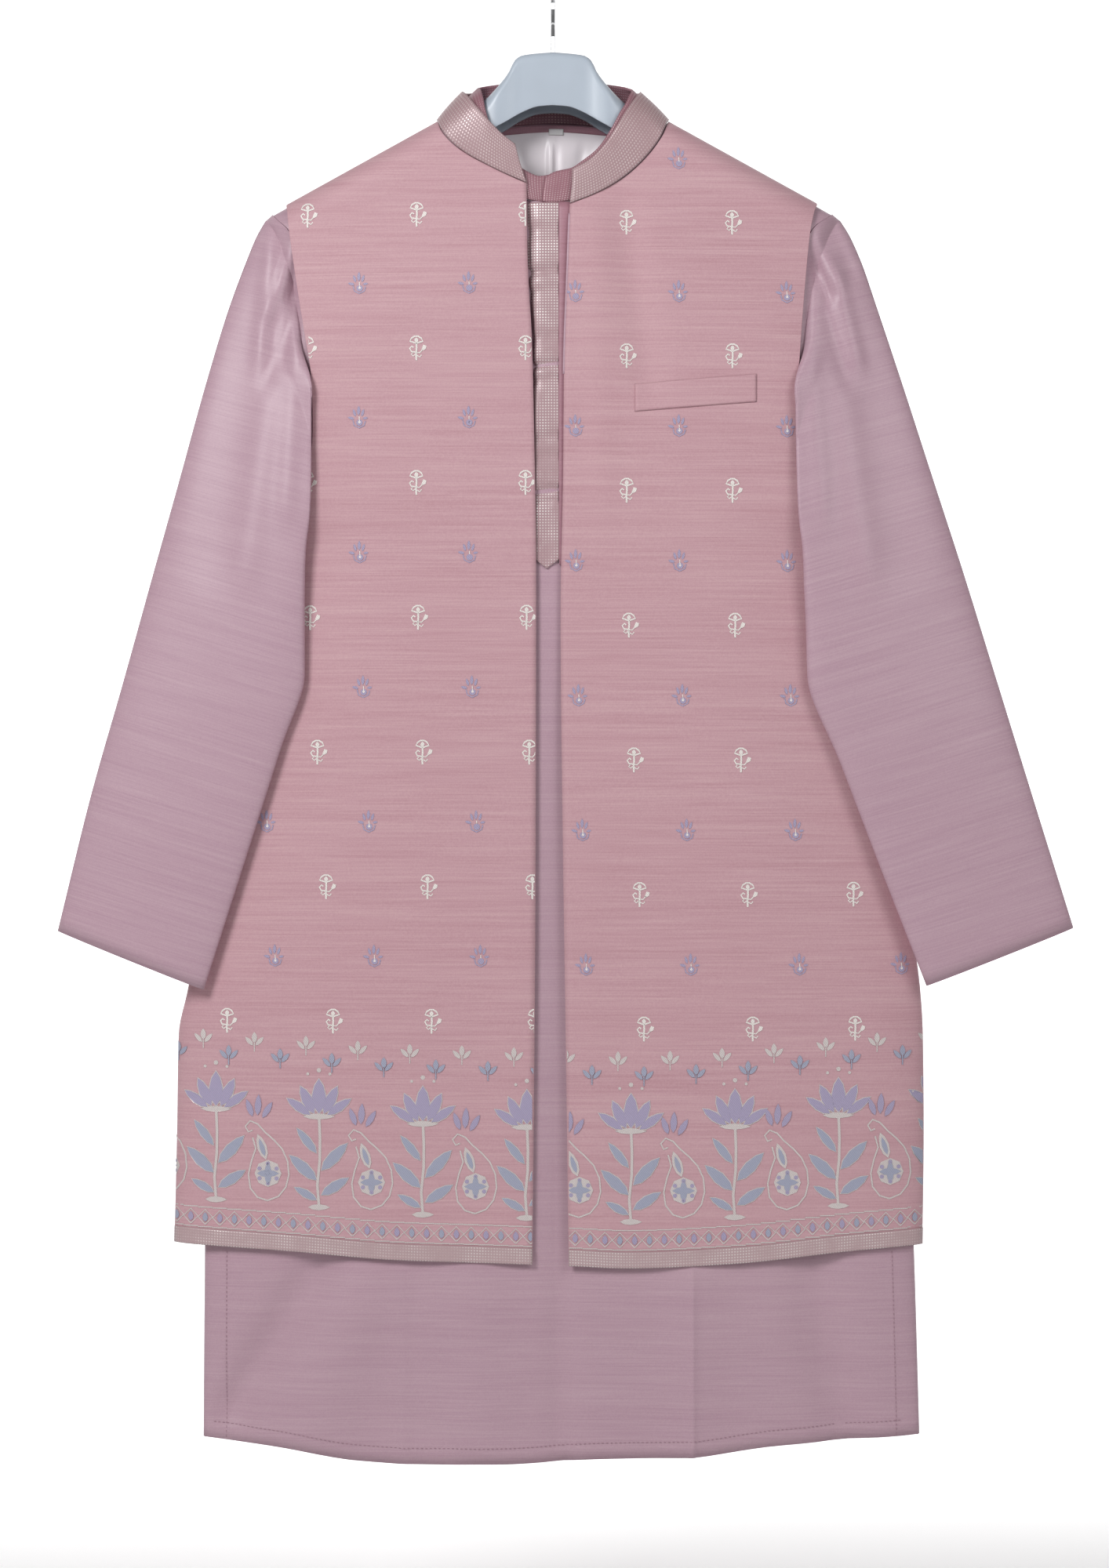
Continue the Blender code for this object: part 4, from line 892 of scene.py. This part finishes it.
def makeHemTapes():
    def tape(word, across, surface, flip, columns, span):
        def point(a, down):
            share = blend(span[0], span[1], a)
            hem = jacketHem(across(share, jacketHem(0.0)))
            z = hem + trims["tapeHeight"] * (1 - down) + 0.2 * down
            return movedOut(surface, across(share, z), z, trims["lift"] + 0.1)

        clothGrid(f"hemTape{word}", columns, 8, point, trims["wall"], "hemZari",
                  [f"jacket_hem_tape_{word.lower()}"], flip)

    for side, word in ((-1, "Right"), (1, "Left")):
        def across(share, z, side=side):
            return blend(jacketOpenings[side](z), side * jacketWidths[side](z), share)

        tape(word, across, jacketFront, side < 0, 90, (0.0, 0.996))
    tape("Back", lambda share, z: share * jacketWidths[sideOf(share)](z), jacketBack, True, 150,
         (-0.996, 0.996))


# The hanger: a channel with a wide head, open below

hanger = {
    "wall": 2.4,
    # x, top, bottom, half-depth, round of the top edges
    "rows": [(0, -65.7, -109.6, 17.5, 6.0), (12, -66.6, -110.6, 17.5, 6.0), (25, -68.2, -115.4, 17.5, 6.0),
             (31, -72.0, -118.8, 18.0, 7.0), (36, -82.0, -122.0, 19.0, 8.0), (45, -93.5, -127.0, 20.0, 10.0),
             (55, -103.0, -132.5, 18.5, 14.0), (68, -112.7, -141.0, 17.0, 16.0),
             (80, -120.0, -149.5, 16.5, 16.0)],
    "arms": [(96, 30.0, 17.5), (125, 30.0, 20.0), (160, 29.0, 18.5), (190, 26.0, 15.5), (206, 22.0, 12.0),
             (213, 17.0, 8.0)],
    "underRidge": 4.5,
}


def makeHanger():
    rows = list(hanger["rows"])
    for x, height, depth in hanger["arms"]:
        top = shoulderRidge(x) - hanger["underRidge"]
        rows.append((x, top, top - height, depth, 20.0))
    curves = [smoothCurve([(row[0], row[i]) for row in rows]) for i in range(1, 5)]
    span = rows[-1][0]

    def point(across, down):
        x = span * (across * 2 - 1)
        top, bottom, depth, radius = (curve(abs(x)) for curve in curves)
        radius = min(radius, depth - 0.5)
        # round the section from the front lower edge over the top to the rear one
        wallLength, arc, flat = top - radius - bottom, radius * math.pi / 2, 2 * (depth - radius)
        place = down * (2 * wallLength + 2 * arc + flat)
        rear = place > wallLength + arc + flat / 2
        if rear:
            place = 2 * wallLength + 2 * arc + flat - place
        if place < wallLength:
            y, z = -depth, bottom + place
        elif place < wallLength + arc:
            angle = (place - wallLength) / radius
            y, z = -depth + radius * (1 - math.cos(angle)), top - radius * (1 - math.sin(angle))
        else:
            y, z = -depth + radius + (place - wallLength - arc), top
        return Vector((x, -y if rear else y, z))

    obj = clothGrid("hangerBody", 180, 44, point, hanger["wall"], "hangerPlastic",
                    ["hanger"], True)
    rim = obj.modifiers.new("Rim", "BEVEL")
    rim.width, rim.segments, rim.limit_method, rim.angle_limit = 0.6 * mm, 2, "ANGLE", math.radians(50)
    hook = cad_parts["hanger_hook"]
    hook.data.materials.clear()
    hook.data.materials.append(finishes["hookSteel"])


# Motifs: flat charts of leaves, strokes and dots in mm, laid on a panel and raised by a thread's height

def leaf(x0, y0, x1, y1, width):
    # a pointed oval from one tip to the other
    alongX, alongY = x1 - x0, y1 - y0
    length = math.hypot(alongX, alongY)
    outline = []
    for share, half in ((0, 0), (0.2, 0.38), (0.5, 0.5), (0.8, 0.32),
                        (1, 0), (0.8, -0.32), (0.5, -0.5), (0.2, -0.38)):
        aside = half * width / length
        outline.append((x0 + alongX * share - alongY * aside, y0 + alongY * share + alongX * aside))
    return [outline]


def dot(x, y, radius):
    turns = [i * math.pi / 4 for i in range(8)]
    return [[(x + radius * math.cos(turn), y + radius * math.sin(turn)) for turn in turns]]


def patch(*points):
    return [list(points)]


def stroke(width, *points):
    # a ribbon along the points, mitred at each of them
    sides = []
    for i, (x, y) in enumerate(points):
        (xa, ya), (xb, yb) = points[max(i - 1, 0)], points[min(i + 1, len(points) - 1)]
        length = math.hypot(xb - xa, yb - ya) or 1.0
        outX, outY = -(yb - ya) / length * width / 2, (xb - xa) / length * width / 2
        sides.append(((x + outX, y + outY), (x - outX, y - outY)))
    return [[a[0], b[0], b[1], a[1]] for a, b in zip(sides, sides[1:])]


whiteButi = (
    stroke(1.3, (0, 3.6), (-5.2, 5.4), (-3.8, 7.9), (-1.4, 9.4), (1.4, 9.4), (3.8, 7.9), (5.2, 5.4), (0, 3.6))
    + leaf(0, 4.2, 0, 8.4, 3.4)
    + stroke(1.5, (0, 4), (0.2, 0), (-0.2, -5), (0, -10))
    + stroke(1.2, (-0.2, -3.5), (-4, -3), (-5.4, -0.4), (-3.6, 1.4), (-2.2, 0.2))
    + stroke(0.9, (0.2, -3.6), (2.6, -4), (5, -1.4))
    + patch((4, -1.4), (5.6, 2.6), (8.2, 1.6), (7.6, -0.9), (5.4, -2.2))
    + stroke(0.9, (0, -4.5), (-2.6, -6.6), (-4.2, -5.2), (-3, -4))
    + stroke(0.9, (0.2, -6), (2.8, -7.4), (4.2, -5.6))
)
lilacButi = (
    leaf(0, 1.2, 0.3, 9, 2.6) + leaf(-2.4, 0.4, -4.2, 6.4, 2.2) + leaf(2.6, 0.4, 4.4, 6.4, 2.2)
    + leaf(-3.4, -1.6, -8.6, -0.2, 2.3) + leaf(3.6, -1.4, 7.6, -0.6, 2.0)
    + dot(0.8, -4.6, 2.7) + stroke(0.9, (-4.4, -2.6), (-3.4, -6.8), (0.6, -8.8), (4.6, -6.8), (5.6, -3.2))
)
butiEye = dot(0.8, -4.2, 1.0) + stroke(0.7, (0.8, -3.4), (0.6, 0.4))

# An own border for the lower jacket: lotus plants and leaning paisleys over a lattice of diamonds
def petals(rows, grow=0.0):
    # leaves from a table of (x0, y0, x1, y1, width), each grown on all sides for its outline
    made = []
    for x0, y0, x1, y1, width in rows:
        length = math.hypot(x1 - x0, y1 - y0)
        moreX, moreY = (x1 - x0) / length * grow, (y1 - y0) / length * grow
        made += leaf(x0 - moreX, y0 - moreY, x1 + moreX, y1 + moreY, width + grow * 1.6)
    return made


lotusFlower = [(0, 76, 0, 104, 11), (-4, 76, -15, 98, 8.5), (4, 76, 15, 98, 8.5), (-7, 75, -26, 88, 7),
               (7, 75, 26, 88, 7)]
lotusFoliage = [(-2, 22, -24, 42, 9), (2, 30, 23, 52, 9), (-2, 44, -18, 64, 6.5), (2, 10, 24, 24, 8),
                (-2, 6, -20, 16, 6)]
lotusStems = (
    stroke(2.2, (0, 0), (-1.4, 18), (0.6, 38), (0.8, 56), (0, 76)) + leaf(-13, 73.5, 13, 73.5, 5)
    + leaf(-9, 0, 9, 0, 5) + dot(0, 111, 1.9) + dot(-9, 108, 1.3) + dot(9, 108, 1.3)
    + petals(lotusFlower, 1.0) + petals(lotusFoliage, 0.9)
)
lotusPetals = petals(lotusFlower)
lotusLeaves = petals(lotusFoliage)
paisleyShape = [(0, 2), (9, 5.5), (15, 13), (17.5, 23), (16.5, 34), (12, 44), (5, 51.5), (-2, 57.5), (-8, 64),
                (-14, 66.5), (-18, 62), (-15.5, 57.5), (-12, 59)]
paisleyInner = [(-12, 53), (-9.5, 44), (-13, 34), (-15.5, 23), (-14, 12), (-8, 4.5), (0, 2)]
paisleyLine = (stroke(1.3, *paisleyShape) + stroke(1.3, *paisleyInner) + dot(0.5, 24, 11)
               + leaf(-1, 35, -8, 56, 8))
paisleyHeart = leaf(0.5, 15, 0.5, 33, 6) + leaf(-8.5, 24, 9.5, 24, 6) + leaf(-2, 38, -6.6, 52, 4)
paisleySprays = petals([(-12, 70, -17, 84, 5), (-8, 71, -7, 88, 5.5), (-4, 69, 4, 82, 5)])
for angle in range(30, 390, 60):
    turned = math.radians(angle)
    paisleySprays += dot(0.5 + 8 * math.cos(turned), 24 + 8 * math.sin(turned), 1.7)
sprig = (stroke(0.9, (0, 0), (0, 8)) + leaf(0, 7, 0, 16, 4.5)
         + leaf(-1, 5, -7.5, 12, 3.6) + leaf(1, 5, 7.5, 12, 3.6))

butis = {
    "lift": 0.12,
    "thickness": 0.32,
    "row": 108.6,
    "rows": 8,
    "drift": (-420.0, 520.0),  # below the first level the columns lean out with the cloth
    # columns at the shoulder and near the hem, and the first row's height
    "white": {"right": ([(-286, -262), (-198.4, -175.8), (-110, -96.9), (-22.1, -14)], -200.4),
              "left": ([(59.4, 74.5), (144.7, 162.5), (239, 245), (314, 330)], -206.7)},
    "lilac": {"right": ([(-244, -221), (-156.7, -142), (-68.2, -56.8)], -147.4),
              "left": ([(17.7, 28), (101.1, 112.7), (188.3, 200.7), (268, 285)], -154.3)},
}
border = {"base": 32.0, "pitch": 84.0, "lattice": 12.0, "sprigPitch": 21.0, "sprigHeight": 128.0,
          "overlay": 0.3}


def layMotifs(name, charts, surface, low, high, material, flip=False, lifted=0.0):
    # charts are (chart, x, z, lean): each is cut at the panel's edges and bent to its form
    joined = bmesh.new()
    for chart, x, z, lean in charts:
        flat = bmesh.new()
        turn, lift = math.cos(lean), math.sin(lean)
        for outline in chart:
            spots = [(x + u * turn - v * lift, z + u * lift + v * turn) for u, v in outline]
            flat.faces.new([flat.verts.new((u, 0, v)) for u, v in spots])
        for at, outward in ((low(z), -1), (high(z), 1)):
            parts = flat.verts[:] + flat.edges[:] + flat.faces[:]
            bmesh.ops.bisect_plane(flat, geom=parts, plane_co=(at, 0, z), plane_no=(outward, 0, 0),
                                   clear_outer=True)
        for vert in flat.verts:
            vert.co = movedOut(surface, vert.co.x, vert.co.z, butis["lift"] + lifted) * mm
        mesh = bpy.data.meshes.new("oneMotif")
        flat.to_mesh(mesh)
        flat.free()
        joined.from_mesh(mesh)
        bpy.data.meshes.remove(mesh)
    outward = 1 if flip else -1
    joined.normal_update()
    wrong = [f for f in joined.faces if f.normal.y * outward < 0]
    bmesh.ops.reverse_faces(joined, faces=wrong)
    mesh = bpy.data.meshes.new(name)
    joined.to_mesh(mesh)
    joined.free()
    obj = finishPiece(bpy.data.objects.new(name, mesh), material, ())
    thicken(obj, butis["thickness"], 1.0)
    return obj


def jacketPanels():
    # word, surface, low edge, high edge, sides whose columns it carries, seen from behind
    edge = jacketWidths
    return (
        ("Right", jacketFront, lambda z: 1.2 - edge[-1](z), lambda z: jacketOpenings[-1](z) - 0.6,
         ("right",), False),
        ("Left", jacketFront, lambda z: jacketOpenings[1](z) + 0.6, lambda z: edge[1](z) - 1.2,
         ("left",), False),
        ("Back", jacketBack, lambda z: 1.2 - edge[-1](z), lambda z: edge[1](z) - 1.2,
         ("right", "left"), True),
    )


def makeButis():
    start, run = butis["drift"]
    for word, surface, low, high, sides, behind in jacketPanels():
        for kind, chart in (("white", whiteButi), ("lilac", lilacButi)):
            spots = []
            for side in sides:
                columns, first = butis[kind][side]
                for row in range(butis["rows"]):
                    z = first - butis["row"] * row
                    for top, foot in columns:
                        x = blend(top, foot, ease((start - z) / run))
                        inside = low(z) - 6 < x < high(z) + 6 and z < shoulderRidge(x) - 16
                        if inside and z > jacketHem(x) + 175 and not onCollar(x, z, behind):
                            spots.append((x, z))
            layMotifs(f"{kind}Butis{word}", [(chart, x, z, 0.0) for x, z in spots], surface, low, high,
                      f"{kind}Thread", behind)
            if kind == "lilac":
                eyes = [(butiEye, x, z, 0.0) for x, z in spots]
                layMotifs(f"lilacButiEyes{word}", eyes, surface, low, high, "whiteThread",
                          behind)
    print("butis laid")


def onCollar(x, z, behind):
    if abs(x) > jacket["neck"]:
        return False
    top = backNeckline(x, jacket["neck"], 0.0) if behind else jacketNecklines[sideOf(x)](abs(x))
    return z > top - 10


def makeBorder():
    pitch, base = border["pitch"], border["base"]
    for word, surface, low, high, _, behind in jacketPanels():
        silver, lilac, greyBlue = [], [], []
        first, last = math.floor(low(-1000) / pitch * 2), math.ceil(high(-1000) / pitch * 2)
        for i in range(first, last + 1):
            x = (i + 0.5) * pitch / 2
            z = jacketHem(x) + base + 6
            if i % 2:
                silver.append((lotusStems, x, z, 0.0))
                lilac.append((lotusPetals, x, z, 0.0))
                greyBlue.append((lotusLeaves, x, z, 0.0))
            else:
                silver.append((paisleyLine, x, z, 0.0))
                lilac.append((paisleySprays, x, z, 0.0))
                greyBlue.append((paisleyHeart, x, z, 0.0))
        cell = border["lattice"]
        for i in range(math.floor(low(-1000) / cell), math.ceil(high(-1000) / cell) + 1):
            x = (i + 0.5) * cell
            z = jacketHem(x) + base - cell / 2 - 3
            rails = stroke(0.9, (-6, -8), (6, -8)) + stroke(0.9, (-6, 8), (6, 8))
            diamond = stroke(0.9, (0, -6), (6, 0), (0, 6), (-6, 0), (0, -6))
            silver.append((diamond + rails, x, z, 0.0))
            (lilac if i % 2 else greyBlue).append((leaf(0, -3.8, 0, 3.8, 4.4), x, z, 0.0))
        first, last = low(-1000) / border["sprigPitch"], high(-1000) / border["sprigPitch"]
        for i in range(math.floor(first), math.ceil(last)):
            x = (i + 0.5) * border["sprigPitch"]
            z = jacketHem(x) + base + border["sprigHeight"] - (12 if i % 2 else 0)
            (greyBlue if i % 2 else silver).append((sprig, x, z, 0.0))
        inside = [[c for c in charts if low(c[2]) - 26 < c[1] < high(c[2]) + 26]
                  for charts in (silver, lilac, greyBlue)]
        for charts, tint in zip(inside, ("silver", "lilac", "greyBlue")):
            layMotifs(f"{tint}Border{word}", charts, surface, low, high, f"{tint}Thread",
                      behind, 0.0 if tint == "silver" else border["overlay"])
    print("border laid")


# Seams, stitches and the plain strip beside the placket

def stitchRow(name, points, material, surfaceOut, dash=1.8, pitch=3.6, width=0.45):
    # short dashes along the points, each lifted off the cloth
    row = bmesh.new()
    walked, placed = 0.0, 0.0
    for start, end in zip(points, points[1:]):
        step = end - start
        length = step.length
        while placed <= walked + length:
            a = start.lerp(end, (placed - walked) / length)
            along = step.normalized() * dash
            side = along.cross(Vector((0, surfaceOut, 0))).normalized() * width / 2
            lift = Vector((0, surfaceOut * 0.35, 0))
            corners = (a - side, a + along - side, a + along + side, a + side)
            face = row.faces.new([row.verts.new((c + lift) * mm) for c in corners])
            face.normal_update()
            if face.normal.y * surfaceOut < 0:
                face.normal_flip()
            placed += pitch
        walked += length
    mesh = bpy.data.meshes.new(name)
    row.to_mesh(mesh)
    row.free()
    thicken(finishPiece(bpy.data.objects.new(name, mesh), material, ()), 0.25, 1.0)


stitches = {
    "hemRise": 13.0,
    "slitInset": 19.0,
    "slitTop": -1040.0,
    "cuffPlace": 0.983,  # share of the sleeve's length, 25 mm above the cuff
}


def makeStitches():
    def path(surface, places):
        return [surface(x, z) for x, z in places]

    hemLine = [(x, kurtaHem(x) + stitches["hemRise"]) for x in range(-276, 287, 6)]
    stitchRow("kurtaHemStitch", path(kurtaFront, hemLine), "roseThread", -1)
    stitchRow("kurtaBackHemStitch", path(kurtaBack, hemLine), "roseThread", 1)
    for side, word in ((-1, "Right"), (1, "Left")):
        slit = []
        for i in range(31):
            z = stitches["slitTop"] - 5 * i
            slit.append((side * (kurtaWidths[side](z) - stitches["slitInset"]), z))
        stitchRow(f"slitStitch{word}", path(kurtaFront, slit), "roseThread", -1)
        stitchRow(f"slitBackStitch{word}", path(kurtaBack, slit), "roseThread", 1)


def makeSleeveStitch(word, sleevePoint):
    # a row of stitches round the cuff
    for half, outward in ((0.5, -1), (1.0, 1)):
        points = [sleevePoint(half - 0.48 + 0.46 * i / 40, stitches["cuffPlace"]) for i in range(41)]
        facing = "Front" if outward < 0 else "Back"
        stitchRow(f"cuffStitch{word}{facing}", points, "roseThread", outward)


def makePlacketEdge():
    # the plain strip between the zari band and the jacket's left front
    def point(across, down):
        z = blend(-190.2, -484.0, down)
        x = blend(trims["placketLeft"] - 0.4, jacketOpenings[1](z) + 1.5, across)
        return movedOut(kurtaFront, x, z, trims["lift"] + 0.9 + 0.5 * math.sin(across * math.pi))

    clothGrid("placketEdgeStrip", 8, 60, point, 0.7, "roseFacing")

    def piping(across, down):
        # a narrow lilac selvedge along the jacket's left front edge
        z = blend(-200.0, -330.0, down)
        x = jacketOpenings[1](z) + blend(-0.9, 0.9, across)
        return movedOut(jacketFront, x, z, 0.5 * math.sin(across * math.pi) - 0.2)

    clothGrid("frontEdgeSelvedge", 4, 40, piping, 0.5, "kurtaSilk")


# The cut of each piece of cloth: width and length in metres, the flat area where it isn't a rectangle,
# what it hangs from, and what is sewn or woven on it

motifWords = ("whiteButis", "lilacButis", "lilacButiEyes", "silverBorder", "lilacBorder", "greyBlueBorder")
cuts = {
    "kurtaFrontCloth": ((0.60, 1.09), 0.545, ["hangerBody"],
                        ["kurtaHemStitch", "slitStitchRight", "slitStitchLeft"]),
    "kurtaBackCloth": ((0.60, 1.10), 0.55, ["hangerBody"],
                       ["kurtaBackHemStitch", "slitBackStitchRight", "slitBackStitchLeft"]),
    "kurtaSleeveRightCloth": ((0.34, 0.63), 0.158, ["kurtaFrontCloth"],
                              ["cuffStitchRightFront", "cuffStitchRightBack"]),
    "kurtaSleeveLeftCloth": ((0.34, 0.63), 0.161, ["kurtaFrontCloth"],
                              ["cuffStitchLeftFront", "cuffStitchLeftBack"]),
    "kurtaCollarBand": ((0.40, 0.036), 0.0135, ["kurtaFrontCloth", "kurtaBackCloth"], []),
    "placketBand": ((0.028, 0.295), 0.0066, ["kurtaFrontCloth"], []),
    "placketEdgeStrip": ((0.01, 0.294), 0.0018, ["kurtaFrontCloth"], []),
    "neckFacing": ((0.14, 0.08), 0.0091, ["kurtaBackCloth"], []),
    "neckBand": ((0.135, 0.01), 0.0008, ["kurtaBackCloth"], []),
    "neckLabel": ((0.012, 0.01), 0.00006, ["kurtaBackCloth"], []),
    "jacketFrontRightCloth": ((0.32, 0.94), 0.22, ["kurtaFrontCloth"],
                              [word + "Right" for word in motifWords]),
    "jacketFrontLeftCloth": ((0.32, 0.94), 0.225, ["kurtaFrontCloth"],
                             [word + "Left" for word in motifWords] + ["frontEdgeSelvedge"]),
    "jacketBackCloth": ((0.62, 0.95), 0.475, ["kurtaBackCloth"], [word + "Back" for word in motifWords]),
    "jacketCollarBand": ((0.39, 0.036), 0.0122, ["jacketFrontRightCloth", "jacketFrontLeftCloth"], []),
    "pocketWelt": ((0.10, 0.023), None, ["jacketFrontLeftCloth"], []),
    "hemTapeRight": ((0.295, 0.0135), None, ["jacketFrontRightCloth"], []),
    "hemTapeLeft": ((0.295, 0.0135), None, ["jacketFrontLeftCloth"], []),
    "hemTapeBack": ((0.61, 0.0135), None, ["jacketBackCloth"], []),
}


def declareSheets():
    for name, (flat, area, hangsFrom, carried) in cuts.items():
        sewnOn = [bpy.data.objects[word] for word in carried]
        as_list(hangsFrom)


# Studio: pale floor and wall in one sweep, soft light, and the camera

studio = {
    "floor": -1.42,
    "wall": 3.4,
    "cameraDistance": 2.8,
    "cameraCentre": (0.00128, -0.6605),
    "frameHeight": 1.28,  # metres that the frame covers at the garment's own plane
    "keyWatts": 45.0,
    "fillWatts": 20.0,
    "sky": 0.2,
    "paperGlow": 0.8,  # the paper behind is lit on its own so that it stays near white
}


def areaLight(name, place, aim, size, watts):
    data = bpy.data.lights.new(name, "AREA")
    data.size, data.energy = size, watts
    lamp = bpy.data.objects.new(name, data)
    lamp.location = place
    lamp.rotation_euler = (Vector(aim) - Vector(place)).to_track_quat("-Z", "Y").to_euler()
    bpy.context.scene.collection.objects.link(lamp)


def makeStudio():
    sweep = bmesh.new()
    bmesh.ops.create_grid(sweep, x_segments=2, y_segments=60, size=0.5)
    radius = 0.7
    for vert in sweep.verts:
        place = (vert.co.y + 0.5) * 13.0 - 5.0  # metres along the sweep from the front
        start = studio["wall"] - radius
        if place < start:
            y, z = place, 0.0
        elif place < start + radius * math.pi / 2:
            angle = (place - start) / radius
            y, z = start + radius * math.sin(angle), radius * (1 - math.cos(angle))
        else:
            y, z = studio["wall"], radius + place - start - radius * math.pi / 2
        vert.co = (vert.co.x * 12.0, y, z + studio["floor"])
    for face in sweep.faces:
        face.smooth = True
    mesh = bpy.data.meshes.new("studioSweep")
    sweep.to_mesh(mesh)
    sweep.free()
    backdrop = bpy.data.objects.new("studioSweep", mesh)
    made, tree, shader = startMaterial("paleStudioPaper", {"Base Color": colour("#E6E6E6"), "Roughness": 0.9,
                                                           "Emission Color": colour("#FFFFFF")})
    place = addNode(tree, "ShaderNodeTexCoord").outputs["Object"]
    depth = addNode(tree, "ShaderNodeSeparateXYZ", None, {0: place})
    glow = addNode(tree, "ShaderNodeMapRange", None,
                   {"Value": depth.outputs["Y"], "From Min": 0.1, "From Max": 1.0, "To Max": studio["paperGlow"]})
    tree.links.new(glow.outputs[0], shader.inputs["Emission Strength"])
    mesh.materials.append(made)
    bpy.context.scene.collection.objects.link(backdrop)

    scene = bpy.context.scene
    scene.world = scene.world or bpy.data.worlds.new("studioAir")
    scene.world.use_nodes = True
    air = scene.world.node_tree.nodes.get("Background") or addNode(scene.world.node_tree, "ShaderNodeBackground")
    air.inputs["Color"].default_value = (1, 1, 1, 1)
    air.inputs["Strength"].default_value = studio["sky"]
    scene.view_settings.view_transform = "Standard"

    areaLight("softKey", (-1.3, -2.1, 0.7), (0, 0, -0.5), 0.9, studio["keyWatts"])
    areaLight("softFill", (1.6, -2.2, 0.45), (0, 0, -0.45), 1.4, studio["fillWatts"])

    camera = bpy.data.cameras.new("photoView")
    camera.sensor_fit = "VERTICAL"
    camera.sensor_height = 24.0
    camera.lens = 24.0 * studio["cameraDistance"] / studio["frameHeight"]
    eye = bpy.data.objects.new("photoView", camera)
    x, z = studio["cameraCentre"]
    eye.location = (x, -studio["cameraDistance"], z)
    eye.rotation_euler = (math.pi / 2, 0, 0)
    scene.collection.objects.link(eye)
    scene.camera = eye


makeStudio()
makeKurtaBody()
makeSleeve("right", -1)
makeSleeve("left", 1)
makePlacket()
makeNeckFacing()
print("kurta dressed")
makeJacketBody()
makeCollars()
makeWelt()
makeHemTapes()
makeButis()
makeBorder()
makeStitches()
makePlacketEdge()
print("jacket dressed")
makeHanger()
print("hanger dressed")
declareSheets()
